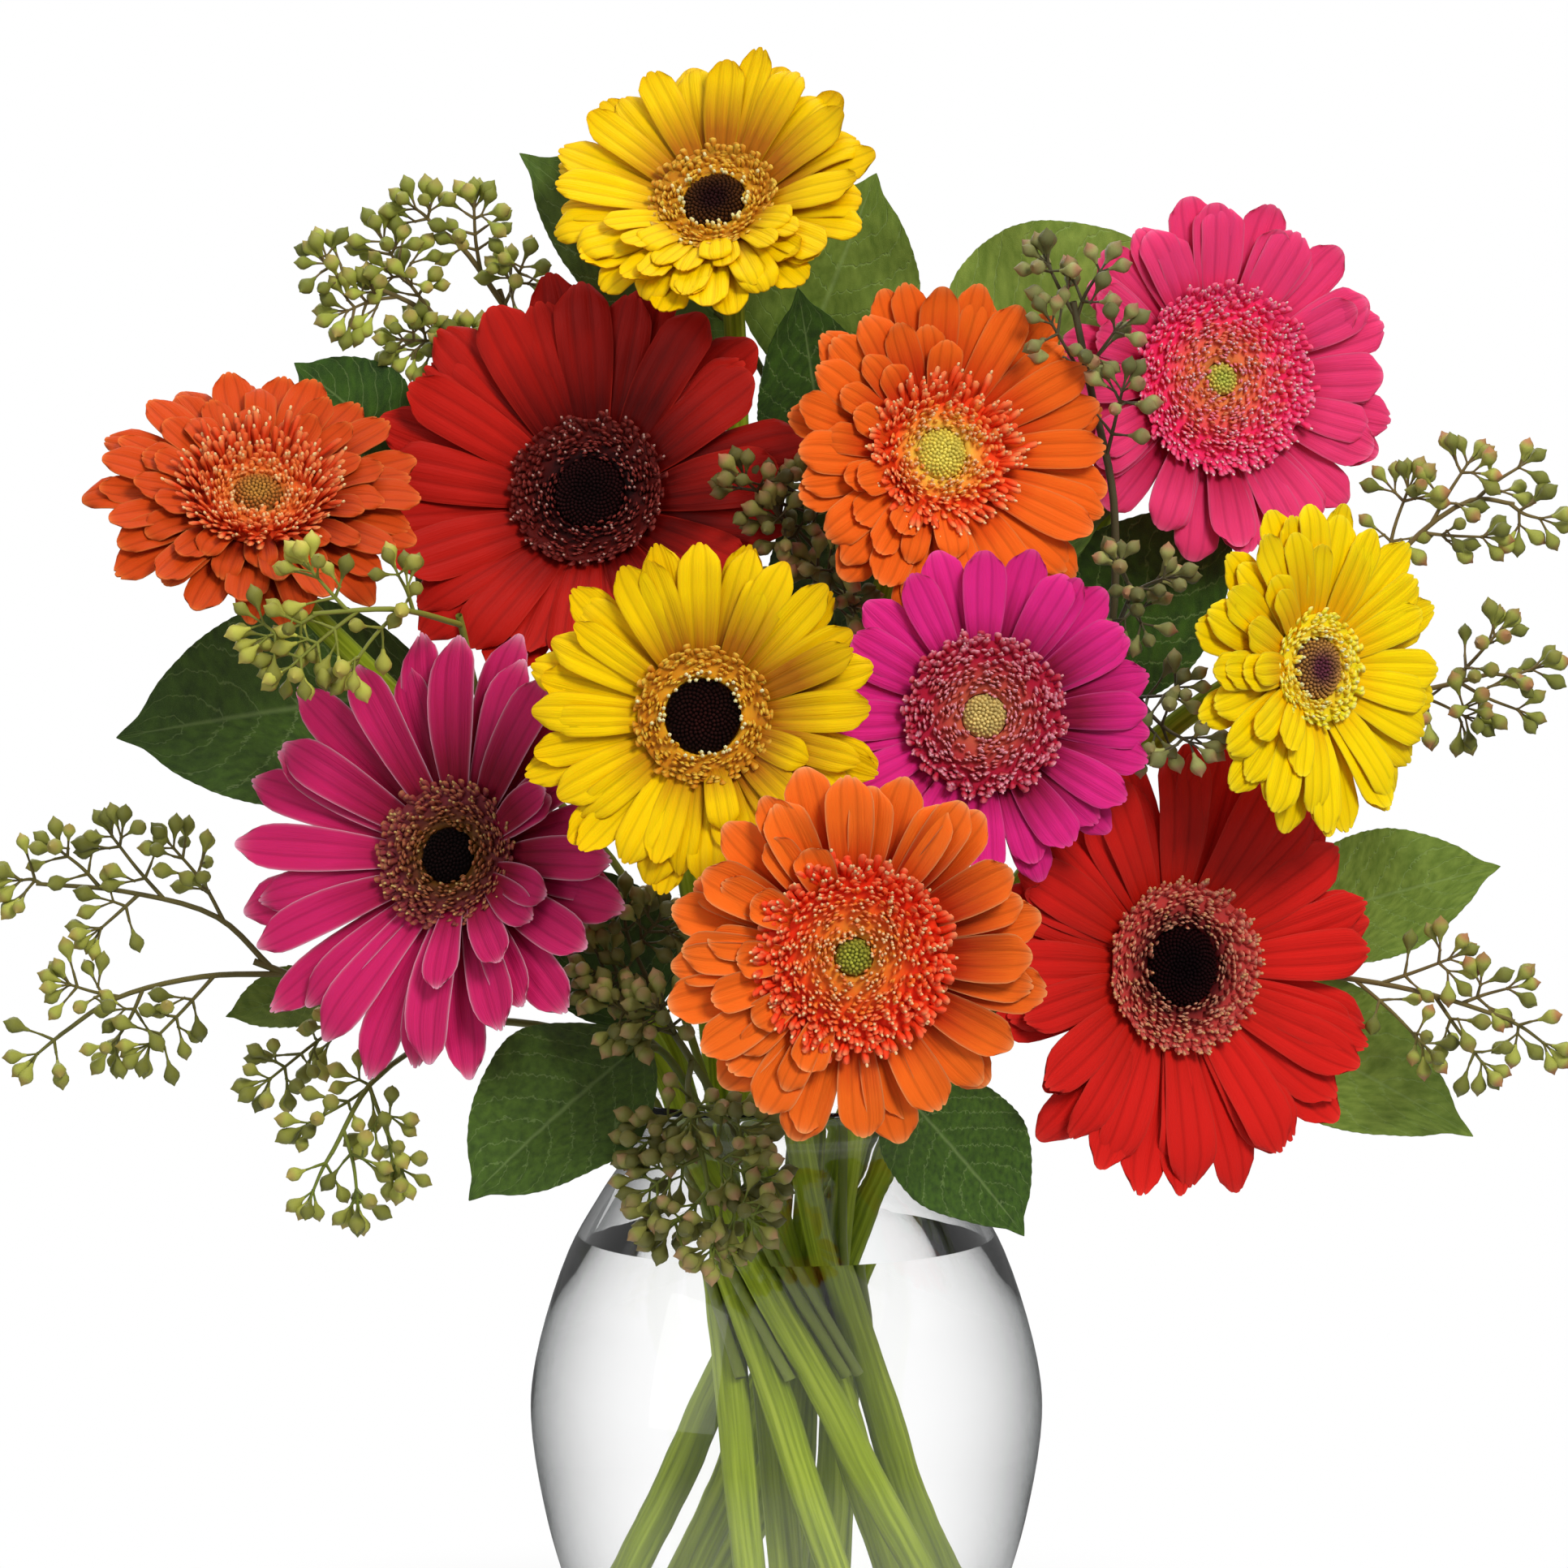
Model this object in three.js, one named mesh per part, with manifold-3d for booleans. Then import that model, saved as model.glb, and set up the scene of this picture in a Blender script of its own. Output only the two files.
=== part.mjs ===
import * as THREE from 'three';
import { mergeVertices } from 'three/addons/utils/BufferGeometryUtils.js';
import Module from 'manifold-3d';

// Eleven cut gerberas with seeded eucalyptus and broad leaves in a clear glass vase.
// Millimetres, +Z up, the viewer at -Y, the origin at the centre of the vase's foot.

const wasm = await Module();
wasm.setup();

// Driving dimensions
const GAP = 0.3;
const SEGMENTS = 20;
const FLOOR_Z = 8;
const WATER_Z = 150;
const FOOT_Z = 40;
const BEND_Z = 153;
const NECK_Z = 188;
const NECK_REACH = 37.5;
const FOCUS_Z = 146;
const BEND_SCALE = 0.6;
const FOOT_SCALE = 1.36;
const BEND_TURN = 20;
const FOOT_TURN = 130;
const CROSS_SCALE = 0.46;
const SPREAD = 1.5;
const STEM_CLEAR = 0.8;
const STEM_R = 3.8;
const STEM_TAPER = 1;
const WOODY_DEPTH = 0.36;
const TWIG_R = 1.2;
const PETAL_T = 0.8;
const CORE_T = 1;
const LAYER_STEP = 1.3;
const BUMP = 0.05;
const LEAF_T = 0.8;

// Radius and height of the glass, outside from the foot up, then inside from the rim down
const GLASS_OUT = [
  [44.5, 0], [47, 2.5], [51.5, 22], [59.5, 48], [66.5, 72], [70.9, 100], [69.6, 116], [60.5, 146],
  [51, 163], [44.6, 173.5], [44.4, 180], [50, 188.5], [50.3, 190],
];
const GLASS_IN = [
  [48.6, 190], [41.6, 180], [41.6, 173.5], [47.8, 163], [57.3, 146], [66.4, 116], [67.7, 100],
  [63.3, 72], [56.2, 48], [48, 22], [42, FLOOR_Z],
];

// Blooms: place of the disc's centre, turn and tip of the face in degrees, petal reach,
// radius of the floret ring and of the eye, cup of the outer petals, petals in each layer,
// width and point of a petal, the side on which the petals are short, and the side and spread
// on which the inner layer has petals at all
const BLOOMS = [
  { id: 'yellow_top', at: [-18.8, -8, 433], turn: -13, tip: 35, reach: 46.6, ring: 16.3, eye: 8.6,
    cup: 13, counts: [12, 12, 7], wide: 11, point: 0.55, shortAt: 270, shortBy: 0.16, inner: [270, 75],
    petal: 0xf5d200, floret: 0xd9a52a, button: 0x2a0c10 },
  { id: 'orange_left', at: [-142.1, -36, 353.6], turn: 8, tip: 43, reach: 45.1, ring: 18, eye: 6.5,
    cup: 3, counts: [11, 11, 10], wide: 11, point: 0.6, shortAt: 270, shortBy: 0.05, inner: [0, 180],
    petal: 0xe8631a, floret: 0xf0944a, button: 0xc4b83a },
  { id: 'red_left', at: [-53.2, -2, 354.6], turn: -10, tip: 20, reach: 62.6, ring: 20.5, eye: 9.8,
    cup: 19, counts: [12, 12, 8], wide: 16, point: 0.6, shortAt: 300, shortBy: 0.05, inner: [0, 0],
    petal: 0xb81e1a, floret: 0x4a1018, button: 0x150508 },
  { id: 'orange_mid', at: [40.3, -36, 366.4], turn: 16, tip: 11, reach: 47.7, ring: 17.5, eye: 6.8,
    cup: 12, counts: [12, 12, 10], wide: 11.5, point: 0.7, shortAt: 185, shortBy: 0.08, inner: [180, 100],
    petal: 0xf0661e, floret: 0xf08a3c, button: 0xc4c23a },
  { id: 'pink_right', at: [118.3, 10, 387], turn: 18, tip: 3, reach: 50.4, ring: 24.5, eye: 4.5,
    cup: 15, counts: [12, 12, 8], wide: 13, point: 0.75, shortAt: 180, shortBy: 0, inner: [0, 0],
    petal: 0xe23a72, floret: 0xe8588a, button: 0xa8b050 },
  { id: 'yellow_right', at: [137.9, -56, 310.5], turn: 39, tip: 3, reach: 45.1, ring: 14.5, eye: 8.2,
    cup: 4, counts: [12, 12, 7], wide: 11, point: 0.7, shortAt: 180, shortBy: 0.08, inner: [180, 90],
    petal: 0xffdd00, floret: 0xe0b030, button: 0x6a3a44 },
  { id: 'magenta_mid', at: [51.5, -76, 298.5], turn: 3, tip: 10, reach: 44.7, ring: 19.9, eye: 5.8,
    cup: 8, counts: [12, 12, 7], wide: 11, point: 0.6, shortAt: 200, shortBy: 0.04, inner: [0, 0],
    petal: 0xd81f84, floret: 0xb03048, button: 0xb5ae55 },
  { id: 'yellow_mid', at: [-21.7, -94, 299.8], turn: 1, tip: 6, reach: 46.7, ring: 16.9, eye: 9.7,
    cup: 6, counts: [12, 12, 7], wide: 11, point: 0.6, shortAt: 270, shortBy: 0, inner: [300, 50],
    petal: 0xf4d100, floret: 0xd8a828, button: 0x1e0a0c },
  { id: 'crimson_left', at: [-88.3, -50, 259.6], turn: -24, tip: 13, reach: 62.5, ring: 18.7, eye: 7.4,
    cup: 9, counts: [12, 12, 7], wide: 14, point: 0.35, shortAt: 0, shortBy: 0.1, inner: [350, 70],
    petal: 0xb81f58, floret: 0x7a5a22, button: 0x180a08 },
  { id: 'orange_low', at: [17, -118, 240.2], turn: 2, tip: 1, reach: 48.4, ring: 22.7, eye: 4.8,
    cup: 6, counts: [12, 12, 11], wide: 13, point: 0.75, shortAt: 180, shortBy: 0.02, inner: [180, 80],
    petal: 0xee6f1e, floret: 0xe8662a, button: 0x9a9a30 },
  { id: 'red_right', at: [104, -44, 230], turn: 27, tip: 4, reach: 61.7, ring: 22, eye: 10.7,
    cup: 5, counts: [12, 12, 8], wide: 14.5, point: 0.45, shortAt: 180, shortBy: 0.04, inner: [0, 0],
    petal: 0xc8201e, floret: 0x7a2420, button: 0x120608 },
];

// Leafy stems: run above the vase, then leaves by base, tip, width, the way the face looks and wave
const LEAFY = [
  { id: 'leaves_top', run: [[-2, 20, 300], [0, 34, 372], [-10, 34, 396]], leaves: [
    { base: [-12, 33, 400], tip: [-73, 20, 450], wide: 40, face: [0.1, -1, 0.15], wave: 1.2 },
    { base: [2, 34, 386], tip: [25, 26, 444], wide: 50, face: [0.1, -1, 0.2], wave: 1.5 },
    { base: [12, 33, 356], tip: [4, 8, 411], wide: 34, face: [0.1, -1, 0.3], wave: 1 },
    { base: [14, 22, 312], tip: [10, -2, 362], wide: 34, face: [0, -1, 0.2], wave: 1.4 },
  ] },
  { id: 'leaves_top_right', run: [[22, 14, 290], [40, 28, 370], [46, 30, 392]], leaves: [
    { base: [44, 30, 386], tip: [106, 26, 425], wide: 54, face: [0, -1, 0.25], wave: 1.5 },
    { base: [32, 20, 330], tip: [88, -4, 352], wide: 38, face: [0, -1, 0.3], wave: 1 },
    { base: [72, 22, 300], tip: [124, 8, 352], wide: 46, face: [0.1, -1, 0.2], wave: 1.4 },
  ] },
  { id: 'leaves_left', run: [[-60, 14, 250], [-96, 12, 300], [-104, 16, 366]], leaves: [
    { base: [-104, 16, 366], tip: [-135, 8, 392], wide: 30, face: [0, -1, 0.4], wave: 1 },
    { base: [-96, 12, 303], tip: [-184, -4, 290], wide: 58, face: [0.05, -1, 0.25], wave: 1.6 },
    { base: [-124, 2, 220], tip: [-154, -8, 213], wide: 17, face: [0, -1, 0.4], wave: 0.6 },
  ] },
  { id: 'leaves_low_left', run: [[-34, -42, 207], [-40, -52, 208]], leaves: [
    { base: [-38, -51, 213], tip: [-85, -70, 172], wide: 48, face: [-0.2, -1, 0.75], wave: 1.5 },
    { base: [-40, -36, 212], tip: [-56, -38, 258], wide: 38, face: [0.1, -1, 0.1], wave: 1 },
  ] },
  { id: 'leaves_low_right', run: [[24, -42, 205], [30, -54, 200]], leaves: [
    { base: [30, -54, 200], tip: [63, -76, 163], wide: 38, face: [0.15, -1, 0.5], wave: 1.2 },
  ] },
  { id: 'leaves_right', run: [[60, 16, 212], [110, 16, 220], [134, 14, 234]], leaves: [
    { base: [136, 13, 236], tip: [196, -2, 254], wide: 36, face: [0, -1, 0.35], wave: 1.2 },
    { base: [113, 15, 220], tip: [190, -4, 180], wide: 40, face: [0.05, -1, 0.35], wave: 1.2 },
  ] },
];

// Eucalyptus: run above the vase, limbs as [share along the run, points], and twigs as
// [0 for the run or the number of a limb, share along it, tip]
const SPRAYS = [
  { id: 'eucalyptus_top_left', tint: 0x8f9a44,
    run: [[-16, 34, 270], [-58, 46, 345], [-80, 24, 412]],
    limbs: [[0.84, [-100, 16, 406], [-120, 10, 415]], [0.98, [-90, 12, 424], [-98, 10, 430]]],
    twigs: [
      [1, 0.98, [-127, 8, 419]], [1, 0.8, [-121, 9, 406]], [1, 0.6, [-111, 10, 425]],
      [1, 0.4, [-106, 14, 398]], [2, 0.98, [-102, 9, 434]], [2, 0.4, [-86, 9, 434]],
      [0, 0.98, [-73, 10, 418]], [0, 0.88, [-92, 16, 396]],
    ] },
  { id: 'eucalyptus_left', tint: 0x9ca23e,
    run: [[-44, -8, 250], [-80, -16, 292], [-88, -38, 324]],
    limbs: [[0.98, [-104, -72, 327], [-124, -77, 326]]],
    twigs: [
      [1, 0.98, [-136, -75, 320]], [1, 0.85, [-124, -78, 337]], [1, 0.8, [-130, -76, 312]],
      [1, 0.6, [-114, -73, 312]], [1, 0.5, [-102, -72, 336]],
    ] },
  { id: 'eucalyptus_low_left', tint: 0x9ca23e,
    run: [[-58, 2, 206], [-108, -8, 214], [-146, -12, 228]],
    limbs: [
      [0.96, [-156, -11, 240], [-182, -9, 247], [-206, -8, 249]],
      [0.92, [-160, -14, 224], [-184, -16, 218], [-199, -16, 208]],
      [0.5, [-112, -44, 198], [-122, -50, 180]],
    ],
    twigs: [
      [1, 0.98, [-210, -8, 250]], [1, 0.75, [-199, -9, 258]], [1, 0.5, [-185, -8, 262]],
      [1, 0.25, [-168, -10, 259]], [1, 0.6, [-188, -10, 237]],
      [2, 0.98, [-205, -16, 203]], [2, 0.7, [-196, -16, 222]], [2, 0.6, [-184, -17, 206]],
      [2, 0.3, [-174, -18, 206]],
      [3, 0.98, [-127, -50, 170]], [3, 0.9, [-115, -52, 168]], [3, 0.7, [-103, -52, 176]],
      [3, 0.5, [-128, -48, 188]], [0, 0.72, [-140, -32, 198]],
    ] },
  { id: 'eucalyptus_neck', tint: 0x8a7a48,
    run: [[-26, -50, 206], [-30, -62, 214]],
    limbs: [
      [0.6, [-26, -70, 197], [-22, -76, 182], [-20, -78, 170]],
      [0.98, [-36, -60, 226], [-42, -56, 238]],
    ],
    twigs: [
      [1, 0.98, [-19, -79, 159]], [1, 0.92, [-31, -78, 164]], [1, 0.88, [-9, -79, 166]],
      [1, 0.75, [-36, -76, 174]], [1, 0.7, [-6, -78, 177]], [1, 0.5, [-37, -74, 186]],
      [1, 0.45, [-10, -77, 189]], [1, 0.3, [-25, -80, 192]],
      [2, 0.98, [-43, -57, 247]], [2, 0.9, [-34, -64, 244]], [2, 0.6, [-50, -62, 230]],
      [0, 0.98, [-45, -70, 222]], [0, 0.9, [-34, -76, 222]],
    ] },
  { id: 'eucalyptus_centre', tint: 0x7a7038,
    run: [[4, 2, 280], [8, -14, 326], [8, -22, 344]],
    limbs: [],
    twigs: [
      [0, 0.82, [-2, -34, 330]], [0, 0.9, [12, -38, 336]], [0, 0.95, [-2, -36, 350]],
      [0, 0.98, [5, -30, 359]], [0, 0.9, [18, -34, 326]], [0, 0.98, [-11, -34, 360]],
    ] },
  { id: 'eucalyptus_right', tint: 0x94a060,
    run: [[36, -4, 230], [84, -12, 300], [89, -21, 350], [82, -26, 385], [77, -31, 408]],
    limbs: [[0.5, [90, -38, 306], [97, -60, 298]], [0.6, [93, -34, 330]]],
    twigs: [
      [0, 0.98, [70, -34, 418]], [0, 0.98, [84, -35, 416]], [0, 0.92, [88, -36, 400]],
      [0, 0.9, [71, -38, 402]], [0, 0.82, [90, -36, 384]],
      [1, 0.98, [93, -69, 291]], [1, 0.98, [106, -73, 292]], [1, 0.8, [101, -66, 304]],
      [2, 0.98, [89, -43, 338]], [2, 0.98, [101, -42, 334]], [2, 0.8, [95, -42, 322]],
    ] },
  { id: 'eucalyptus_far_right', tint: 0x8f9a44,
    run: [[58, 26, 226], [124, 26, 262], [158, 10, 312]],
    limbs: [
      [0.98, [166, 2, 336], [188, 0, 354], [200, 0, 353]],
      [0.92, [174, -4, 302], [194, -8, 307]],
      [0.25, [150, -14, 224], [176, -24, 220], [198, -26, 213]],
    ],
    twigs: [
      [1, 0.98, [207, 0, 349]], [1, 0.85, [201, 0, 363]], [1, 0.65, [187, 0, 364]],
      [1, 0.6, [191, -1, 344]], [1, 0.4, [171, 2, 357]],
      [2, 0.98, [204, -9, 308]], [2, 0.75, [194, -7, 317]], [2, 0.8, [200, -10, 297]],
      [2, 0.5, [186, -8, 295]],
      [3, 0.98, [206, -25, 207]], [3, 0.9, [196, -26, 222]], [3, 0.75, [180, -26, 230]],
      [3, 0.85, [189, -27, 202]], [3, 0.7, [173, -26, 207]],
    ] },
];

// Small helpers

function seeded(seed) {
  let state = seed >>> 0;
  return () => {
    state = (state + 0x6d2b79f5) >>> 0;
    let t = state;
    t = Math.imul(t ^ (t >>> 15), t | 1);
    t ^= t + Math.imul(t ^ (t >>> 7), t | 61);
    return ((t ^ (t >>> 14)) >>> 0) / 4294967296;
  };
}

const vec = (p) => new THREE.Vector3(p[0], p[1], p[2]);
const rad = (degrees) => degrees * Math.PI / 180;

function seedOf(text) {
  let sum = 7;
  for (const letter of text) {
    sum = (sum * 31 + letter.charCodeAt(0)) % 100003;
  }
  return sum;
}

function body(points, faces) {
  const vertProperties = new Float32Array(points.flatMap((p) => [p.x, p.y, p.z]));
  const triVerts = new Uint32Array(faces.flat());
  return new wasm.Manifold(new wasm.Mesh({ numProp: 3, vertProperties, triVerts }));
}

function fromGeometry(geometry) {
  let plain = geometry.index ? geometry.toNonIndexed() : geometry;
  plain.deleteAttribute('normal');
  plain.deleteAttribute('uv');
  plain = mergeVertices(plain, 1e-4);
  const vertProperties = new Float32Array(plain.attributes.position.array);
  const triVerts = new Uint32Array(plain.index.array);
  return new wasm.Manifold(new wasm.Mesh({ numProp: 3, vertProperties, triVerts }));
}

function toGeometry(solid) {
  const mesh = solid.getMesh();
  const points = new Float32Array(mesh.numVert * 3);
  for (let i = 0; i < mesh.numVert; i += 1) {
    for (let axis = 0; axis < 3; axis += 1) {
      points[i * 3 + axis] = mesh.vertProperties[i * mesh.numProp + axis];
    }
  }
  const geometry = new THREE.BufferGeometry();
  geometry.setAttribute('position', new THREE.BufferAttribute(points, 3));
  geometry.setIndex([...mesh.triVerts]);
  geometry.computeVertexNormals();
  return geometry;
}

function join(solids) {
  return solids.reduce((sum, solid) => sum.add(solid));
}

function largest(solid) {
  const pieces = solid.decompose();
  pieces.sort((a, b) => b.volume() - a.volume());
  return pieces[0];
}

// Round bar along a run of points with a radius at each, closed at both ends
function bar(points, radii, sides) {
  const corners = [];
  const faces = [];
  const last = points.length - 1;
  let across = null;
  points.forEach((point, i) => {
    const ahead = points[Math.min(i + 1, last)].clone().sub(points[Math.max(i - 1, 0)]).normalize();
    if (!across) {
      across = Math.abs(ahead.x) < 0.9 ? new THREE.Vector3(1, 0, 0) : new THREE.Vector3(0, 1, 0);
    }
    across.addScaledVector(ahead, -across.dot(ahead)).normalize();
    const over = ahead.clone().cross(across);
    for (let k = 0; k < sides; k += 1) {
      const a = 2 * Math.PI * k / sides;
      const corner = point.clone();
      corner.addScaledVector(across, radii[i] * Math.cos(a));
      corner.addScaledVector(over, radii[i] * Math.sin(a));
      corners.push(corner);
    }
  });
  for (let i = 0; i < last; i += 1) {
    for (let k = 0; k < sides; k += 1) {
      const a = i * sides + k;
      const b = i * sides + (k + 1) % sides;
      faces.push([a, b, b + sides], [a, b + sides, a + sides]);
    }
  }
  for (let k = 1; k < sides - 1; k += 1) {
    faces.push([0, k + 1, k], [last * sides, last * sides + k, last * sides + k + 1]);
  }
  return body(corners, faces);
}

function turned(profile) {
  return new THREE.LatheGeometry(profile.map(([r, z]) => new THREE.Vector2(r, z)), SEGMENTS)
    .rotateX(Math.PI / 2);
}

// Bloom frame: right, up and out of the face

function bloomFrame(bloom) {
  const turn = rad(bloom.turn);
  const tip = rad(bloom.tip);
  const flat = Math.cos(tip);
  const out = new THREE.Vector3(Math.sin(turn) * flat, -Math.cos(turn) * flat, Math.sin(tip));
  const right = new THREE.Vector3(0, 0, 1).cross(out).normalize();
  const up = out.clone().cross(right);
  return { at: vec(bloom.at), right, up, out };
}

function place(frame, x, y, w) {
  const point = frame.at.clone();
  point.addScaledVector(frame.right, x);
  point.addScaledVector(frame.up, y);
  point.addScaledVector(frame.out, w);
  return point;
}

// Stems: spots in the neck pushed apart until every stem clears the others

function neckSpots(list) {
  const spots = list.map((stem) => {
    const pull = SPREAD * (NECK_Z - FOCUS_Z) / Math.max(stem.aim.z - FOCUS_Z, 20);
    return { x: stem.aim.x * pull, y: stem.aim.y * pull, r: stem.r };
  });
  for (let round = 0; round < 600; round += 1) {
    for (let i = 0; i < spots.length; i += 1) {
      for (let j = i + 1; j < spots.length; j += 1) {
        const a = spots[i];
        const b = spots[j];
        const dx = b.x - a.x;
        const dy = b.y - a.y;
        const far = Math.hypot(dx, dy) + 1e-9;
        const short = (a.r + b.r + STEM_CLEAR) / CROSS_SCALE - far;
        if (short > 0) {
          const push = 0.5 * short / far;
          a.x -= dx * push;
          a.y -= dy * push;
          b.x += dx * push;
          b.y += dy * push;
        }
      }
    }
    for (const spot of spots) {
      const far = Math.hypot(spot.x, spot.y);
      const most = NECK_REACH - spot.r;
      if (far > most) {
        spot.x *= most / far;
        spot.y *= most / far;
      }
    }
  }
  return spots;
}

function swung(spot, scale, degrees, z) {
  const c = Math.cos(rad(degrees)) * scale;
  const s = Math.sin(rad(degrees)) * scale;
  return new THREE.Vector3(spot.x * c - spot.y * s, spot.x * s + spot.y * c, z);
}

// Foot and bend are joined by a straight run, so the hole in the water is plain. A gerbera's
// foot leans on the glass, and a woody stem ends higher on the same line
function lowerRun(spot, depth) {
  const foot = swung(spot, FOOT_SCALE, FOOT_TURN, FOOT_Z);
  const bend = swung(spot, BEND_SCALE, BEND_TURN, BEND_Z);
  return [bend.clone().lerp(foot, depth), bend];
}

function bezier(a, b, c, d, steps) {
  return new THREE.CubicBezierCurve3(a, b, c, d).getPoints(steps);
}

// The whole run of a gerbera stem, ending behind the bloom
function gerberaRun(spot, frame) {
  const [foot, bend] = lowerRun(spot, 1);
  const neck = new THREE.Vector3(spot.x, spot.y, NECK_Z);
  const end = place(frame, 0, 0, -11);
  const reach = end.distanceTo(neck);
  const back = place(frame, 0, 0, -11 - Math.min(0.3 * reach, 30));
  const leave = neck.clone().sub(bend).normalize();
  leave.add(new THREE.Vector3(0, 0, 0.5)).normalize();
  const ahead = neck.clone().addScaledVector(leave, 0.35 * reach);
  const lift = bend.clone().addScaledVector(bend.clone().sub(foot).normalize(), 9);
  const drop = neck.clone().addScaledVector(leave, -9);
  const low = bezier(bend, lift, drop, neck, 2);
  const high = bezier(neck, ahead, back, end, 6);
  return [foot, ...low, ...high.slice(1)];
}

// The whole run of a woody stem through its given points
function woodyRun(spot, run) {
  const [foot, bend] = lowerRun(spot, WOODY_DEPTH);
  const neck = new THREE.Vector3(spot.x, spot.y, NECK_Z);
  const lift = bend.clone().addScaledVector(bend.clone().sub(foot).normalize(), 9);
  const leave = neck.clone().sub(bend).normalize();
  const low = bezier(bend, lift, neck.clone().addScaledVector(leave, -9), neck, 2);
  const curve = new THREE.CatmullRomCurve3([bend, neck, ...run.map(vec)], false, 'centripetal');
  const share = neck.distanceTo(bend) / curve.getLength();
  const high = [];
  const steps = 2 + run.length;
  for (let i = 1; i <= steps; i += 1) {
    high.push(curve.getPointAt(Math.min(1, share + (1 - share) * i / steps)));
  }
  return [foot, ...low, ...high];
}

// Petals: a short drum of three layers, and each edge of a layer runs out into a petal

function stitch(faces, lower, upper, start, turn) {
  let i = 0;
  let j = 0;
  while (i < lower.length || j < upper.length) {
    const a = lower[i % lower.length][0];
    const b = upper[j % upper.length][1];
    const nextLow = start + (i + 1) / lower.length;
    const nextHigh = start + turn + (j + 1) / upper.length;
    if (j >= upper.length || (i < lower.length && nextLow <= nextHigh)) {
      i += 1;
      faces.push([a, lower[i % lower.length][0], b]);
    } else {
      j += 1;
      faces.push([a, upper[j % upper.length][1], b]);
    }
  }
}

function petals(bloom, frame) {
  const random = seeded(seedOf(bloom.id));
  const points = [];
  const faces = [];
  const put = (x, y, w) => points.push(place(frame, x, y, w)) - 1;
  let below = null;
  for (let layer = 0; layer < 3; layer += 1) {
    const count = bloom.counts[layer];
    const core = bloom.ring * 0.84 - layer * 0.8;
    const level = layer * LAYER_STEP;
    const cup = rad(bloom.cup + [0, 6, 17][layer]);
    const share = [1, 0.94, 0.66][layer];
    const span = layer < 2 ? 0.82 : 0.7;
    const shift = 0.5 * layer;
    const ring = [];
    for (let k = 0; k < count; k += 1) {
      const a = 2 * Math.PI * (k + shift) / count;
      const x = core * Math.cos(a);
      const y = core * Math.sin(a);
      ring.push([put(x, y, level + CORE_T / 2), put(x, y, level - CORE_T / 2)]);
    }
    if (below) {
      const first = below.shift / below.ring.length;
      stitch(faces, below.ring, ring, first, shift / count - first);
    }
    for (let k = 0; k < count; k += 1) {
      const middle = 2 * Math.PI * (k + shift + 0.5) / count;
      const a = middle + (random() - 0.5) * 0.09;
      const side = Math.cos(a - rad(bloom.shortAt));
      const trim = 1 - bloom.shortBy * Math.max(side, 0);
      const reach = bloom.reach * share * trim * (0.99 + 0.06 * random());
      const lift = cup + (random() - 0.5) * 0.06;
      const twist = (random() - 0.5) * 0.1;
      const wide = bloom.wide * (0.93 + 0.14 * random()) * (layer < 2 ? 1 : 0.8);
      const long = reach - core;
      const bump = layer < 2 ? BUMP : 0;
      const at = (t, off, face) => {
        const r = core + long * t * Math.cos(lift);
        const w = level + long * (t * Math.sin(lift) + bump * Math.sin(Math.PI * t)) + off * twist;
        const x = r * Math.cos(a) - off * Math.sin(a);
        const y = r * Math.sin(a) + off * Math.cos(a);
        return put(x, y, w + face * PETAL_T / 2);
      };
      const left = ring[k];
      const right = ring[(k + 1) % count];
      if (layer === 2 && Math.cos(middle - rad(bloom.inner[0])) < Math.cos(rad(bloom.inner[1]))) {
        faces.push([right[0], left[0], left[1]], [right[0], left[1], right[1]]);
        continue;
      }
      const half = wide / 2 * (layer < 2 ? 0.5 + 0.5 * bloom.point : 0.86);
      const l = [at(span, -half, 1), at(span, -half, -1)];
      const r = [at(span, half, 1), at(span, half, -1)];
      faces.push([left[0], l[0], r[0]], [left[0], r[0], right[0]]);
      faces.push([left[1], r[1], l[1]], [left[1], right[1], r[1]]);
      faces.push([l[0], left[0], left[1]], [l[0], left[1], l[1]]);
      faces.push([right[0], r[0], r[1]], [right[0], r[1], right[1]]);
      const end = [at(1, 0, 1), at(1, 0, -1)];
      faces.push([l[0], end[0], r[0]], [l[1], r[1], end[1]]);
      faces.push([end[0], l[0], l[1]], [end[0], l[1], end[1]]);
      faces.push([r[0], end[0], end[1]], [r[0], end[1], r[1]]);
    }
    if (layer === 0) {
      const bottom = put(0, 0, level - CORE_T / 2);
      ring.forEach((corner, k) => faces.push([bottom, ring[(k + 1) % count][1], corner[1]]));
    }
    if (layer === 2) {
      const top = put(0, 0, level + CORE_T / 2);
      ring.forEach((corner, k) => faces.push([top, corner[0], ring[(k + 1) % count][0]]));
    }
    below = { ring, shift };
  }
  return body(points, faces);
}

// Floret ring: a collar round the eye, its top raised and sunk by turns as florets

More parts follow.
